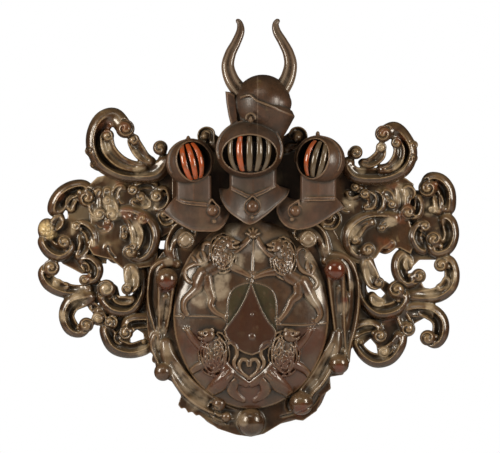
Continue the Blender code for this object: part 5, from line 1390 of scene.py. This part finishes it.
# The band from its foot to its lip: height on its axis, half width across, half depth.
HAT_BAND = [(-14, 25, 10), (-8, 26.5, 15), (0, 27.8, 20), (7, 28.8, 24.5), (9.5, 29.2, 26), (10.8, 29.4, 27),
            (12, 29.2, 27), (13, 28, 26), (16, 25, 23)]
HAT_BROW = [(240, 99.5), (245, 97.5), (250, 97), (254, 100.5), (258, 103), (270, 107.5), (280, 111.5),
            (288, 115.5)]
HAT_PLATE = [(225.5, 92.5), (230, 93), (235, 95.5), (236.5, 103), (237.5, 112), (238, 122), (231, 126),
             (228.5, 116), (226.5, 104)]
GLUE_LINE = 257.5

form = HELMETS["center"]
shells, centre, around, pose = helmet_shells(form)
turns = np.linspace(0, 2 * math.pi, 48, endpoint=False)
band = []
for height, half, depth in smooth_path(HAT_BAND, 3):
    middle = HAT_MIDDLE + HAT_AXIS * height
    band.append([(*(middle + HAT_SIDE * half * math.cos(turn)), HAT_RISE + depth * math.sin(turn))
                 for turn in turns])
shells.append(lofted(np.array(band)))
shells.append(globe((262.5, 103, HAT_RISE), (28, 27.5, 26), None, 56, 36))
shells.append(globe((276, 104, HAT_RISE), (15.5, 14, 21), None, 40, 26))
brow = []
for across, down in HAT_BROW:
    on_dome = math.sqrt(max(0.0, 27.5 ** 2 - (across - 263) ** 2 - (down - 102) ** 2))
    brow.append((across, down, HAT_RISE + 1.2 + on_dome))
shells.append(rod(brow, 1.3, 6))
plate = [[(across, down, rise) for across, down in HAT_PLATE] for rise in (SEAT + 12, SEAT + 33)]
plate.append([(232 + 0.8 * (across - 232), 108 + 0.92 * (down - 108), SEAT + 35)
              for across, down in HAT_PLATE])
shells.append(lofted(np.array(plate)))
knob = [(246, 121), (246.5, 117), (250.7, 114.5), (254.8, 117), (255.5, 121)]
shells.append(rod([(across, down, SEAT + 49) for across, down in knob], 1.1, 5))
shells.append(globe((250.7, 120, SEAT + 44), (3.2, 4.2, 4.5), None, 20, 14))
body = grown_together("helmet_center_carving", shells, soften=2, back=SEAT)
dark_inside(body, form, centre, pose)
across, down, rise = squares_of(body)
mark(body, "glue", np.exp(-((across - GLUE_LINE) / 0.55) ** 2) * (down < 137) * (down > 76))
mark(body, "inner_dust", (across > 237) * (across < 268) * (down > 158) * (down < 176) * (rise < SEAT + 22))
aged(body, "hand_polish", [*HELMET_POLISH, (252, 86, 14), (276, 92, 12), (230, 158, 12), (274, 158, 12)])
hat_wood = wood("hat_walnut", stain=(0.026, 0.014, 0.008), worn=(0.1, 0.042, 0.02),
                dust_and_light=(0.12, 0.092, 0.055), dust_and_light_share=0.3, wear=0.7, polish=0.46, bump=0.4, coat=0.08)
rubbed(hat_wood, "hand_polish", 0.5)
tinted(hat_wood, "inner_dust", (0.3, 0.22, 0.06), 0.9)
# The skull's inner wall is painted nearly black as shade.
tinted(hat_wood, "dark", INNER_SHADE, 0.92)
tinted(hat_wood, "glue", (0.2, 0.15, 0.11), 0.4)
dressed(body, hat_wood, "helmet_center")
helmet_bars("center", form, centre, around)


# The horns.
# Two bent horns with gouged facets, let into the hat's dome. The right one has worm holes at its foot.

LEFT_HORN = [(246, 100, 9), (240, 92, 8.6), (232, 81, 7.8), (228, 67.5, 6.8), (230.5, 55, 5.8), (236, 44, 5),
             (240.4, 33, 4.4), (240, 25, 3.2), (236.5, 20.5, 2)]
RIGHT_HORN = [(276, 98, 9), (282, 89, 8.6), (287.5, 79, 7.8), (290.3, 66, 6.8), (288, 54, 5.8),
              (282.5, 43, 5), (276.7, 33, 4.4), (275.5, 25.5, 3.4), (278.8, 20.4, 2.2)]
WORM_HOLES = [(284, 82.5, 0.9), (289, 77, 0.8), (291.5, 71.5, 0.7), (281.5, 79, 0.6), (293, 67, 0.5),
              (285, 70, 0.5), (289.5, 84, 0.6), (240, 84, 0.6), (243, 79, 0.5)]
horn_wood = wood("horn_walnut", stain=(0.042, 0.027, 0.018), worn=(0.13, 0.085, 0.06),
                 dust_and_light=(0.2, 0.17, 0.13), dust_and_light_share=0.4, wear=0.6, polish=0.2, bump=0.35)
# The worm holes are not cut: they are painted as nearly black spots of shade.
tinted(horn_wood, "holes", (0.008, 0.005, 0.003), 1.0)
lobes = np.linspace(0, 2 * math.pi, 56, endpoint=False)
lobed = 1.0 - 0.09 * np.cos(4 * lobes) - 0.03 * np.cos(8 * lobes)
HORN_SECTION = np.stack([lobed * np.cos(lobes), lobed * np.sin(lobes)], -1)
for side, knots in (("left", LEFT_HORN), ("right", RIGHT_HORN)):
    path = smooth_path([(across, down, HAT_RISE, half) for across, down, half in knots], 18)
    rounded_off(path, 2.2, least=0.04)
    name = f"horn_{side}_carving"
    horn = placed(name, as_mesh(name, [swept(path, HORN_SECTION)]))
    planed(horn, 0)
    across, down, rise = squares_of(horn)
    holes = np.zeros(len(across))
    for hole_across, hole_down, half in WORM_HOLES:
        holes = np.maximum(holes, np.hypot(across - hole_across, down - hole_down) < half)
    mark(horn, "holes", holes * (rise > HAT_RISE))
    dressed(horn, horn_wood, f"horn_{side}")


# The studio.
# A pale floor below the wall piece, two tall soft lights and a long lens straight in front of it.

FLOOR_LEVEL = -0.62
floor_mesh = bpy.data.meshes.new("studio_floor")
floor_mesh.from_pydata([(x, y, FLOOR_LEVEL) for x, y in ((-3, -3), (3, -3), (3, 3), (-3, 3))], [],
                       [(0, 1, 2, 3)])
placed("studio_floor", floor_mesh)

FRAME_WIDTH = 1.0
CAMERA_DISTANCE = 7.0
SENSOR = 36
camera_data = bpy.data.cameras.new("camera")
camera_data.lens = SENSOR * CAMERA_DISTANCE / FRAME_WIDTH
camera_data.sensor_width = SENSOR
camera = placed("camera", camera_data)
camera.location = (-0.002, -CAMERA_DISTANCE - 0.04, 0.047)
camera.rotation_euler = (math.radians(90), 0, 0)
scene.camera = camera

LIGHT_COLOUR = (1.0, 0.93, 0.82)
for name, place, size, power, aim in (
    ("light_left", (-1.1, -0.85, 0.3), (0.38, 0.75), 24, (0, 0, 0.02)),
    ("light_right", (1.1, -0.85, 0.25), (0.34, 0.7), 20, (0, 0, 0.02)),
    ("light_above", (-0.3, -1.6, 1.6), (1.2, 0.6), 8, (0, 0, 0)),
):
    data = bpy.data.lights.new(name, "AREA")
    data.shape = "RECTANGLE"
    data.size, data.size_y = size
    data.energy = power
    data.color = LIGHT_COLOUR
    lamp = placed(name, data)
    lamp.location = place
    lamp.rotation_euler = (Vector(place) - Vector(aim)).to_track_quat("Z", "Y").to_euler()

world = bpy.data.worlds.new("studio")
world.use_nodes = True
sky = world.node_tree
ray = shade(sky, "ShaderNodeLightPath").outputs["Is Camera Ray"]
sky.links.new(ranged(sky, ray, 0, 1, 0.04, 1.0), sky.nodes["Background"].inputs["Strength"])
sky.nodes["Background"].inputs["Color"].default_value = (1, 1, 1, 1)
scene.world = world
scene.view_settings.view_transform = "Standard"
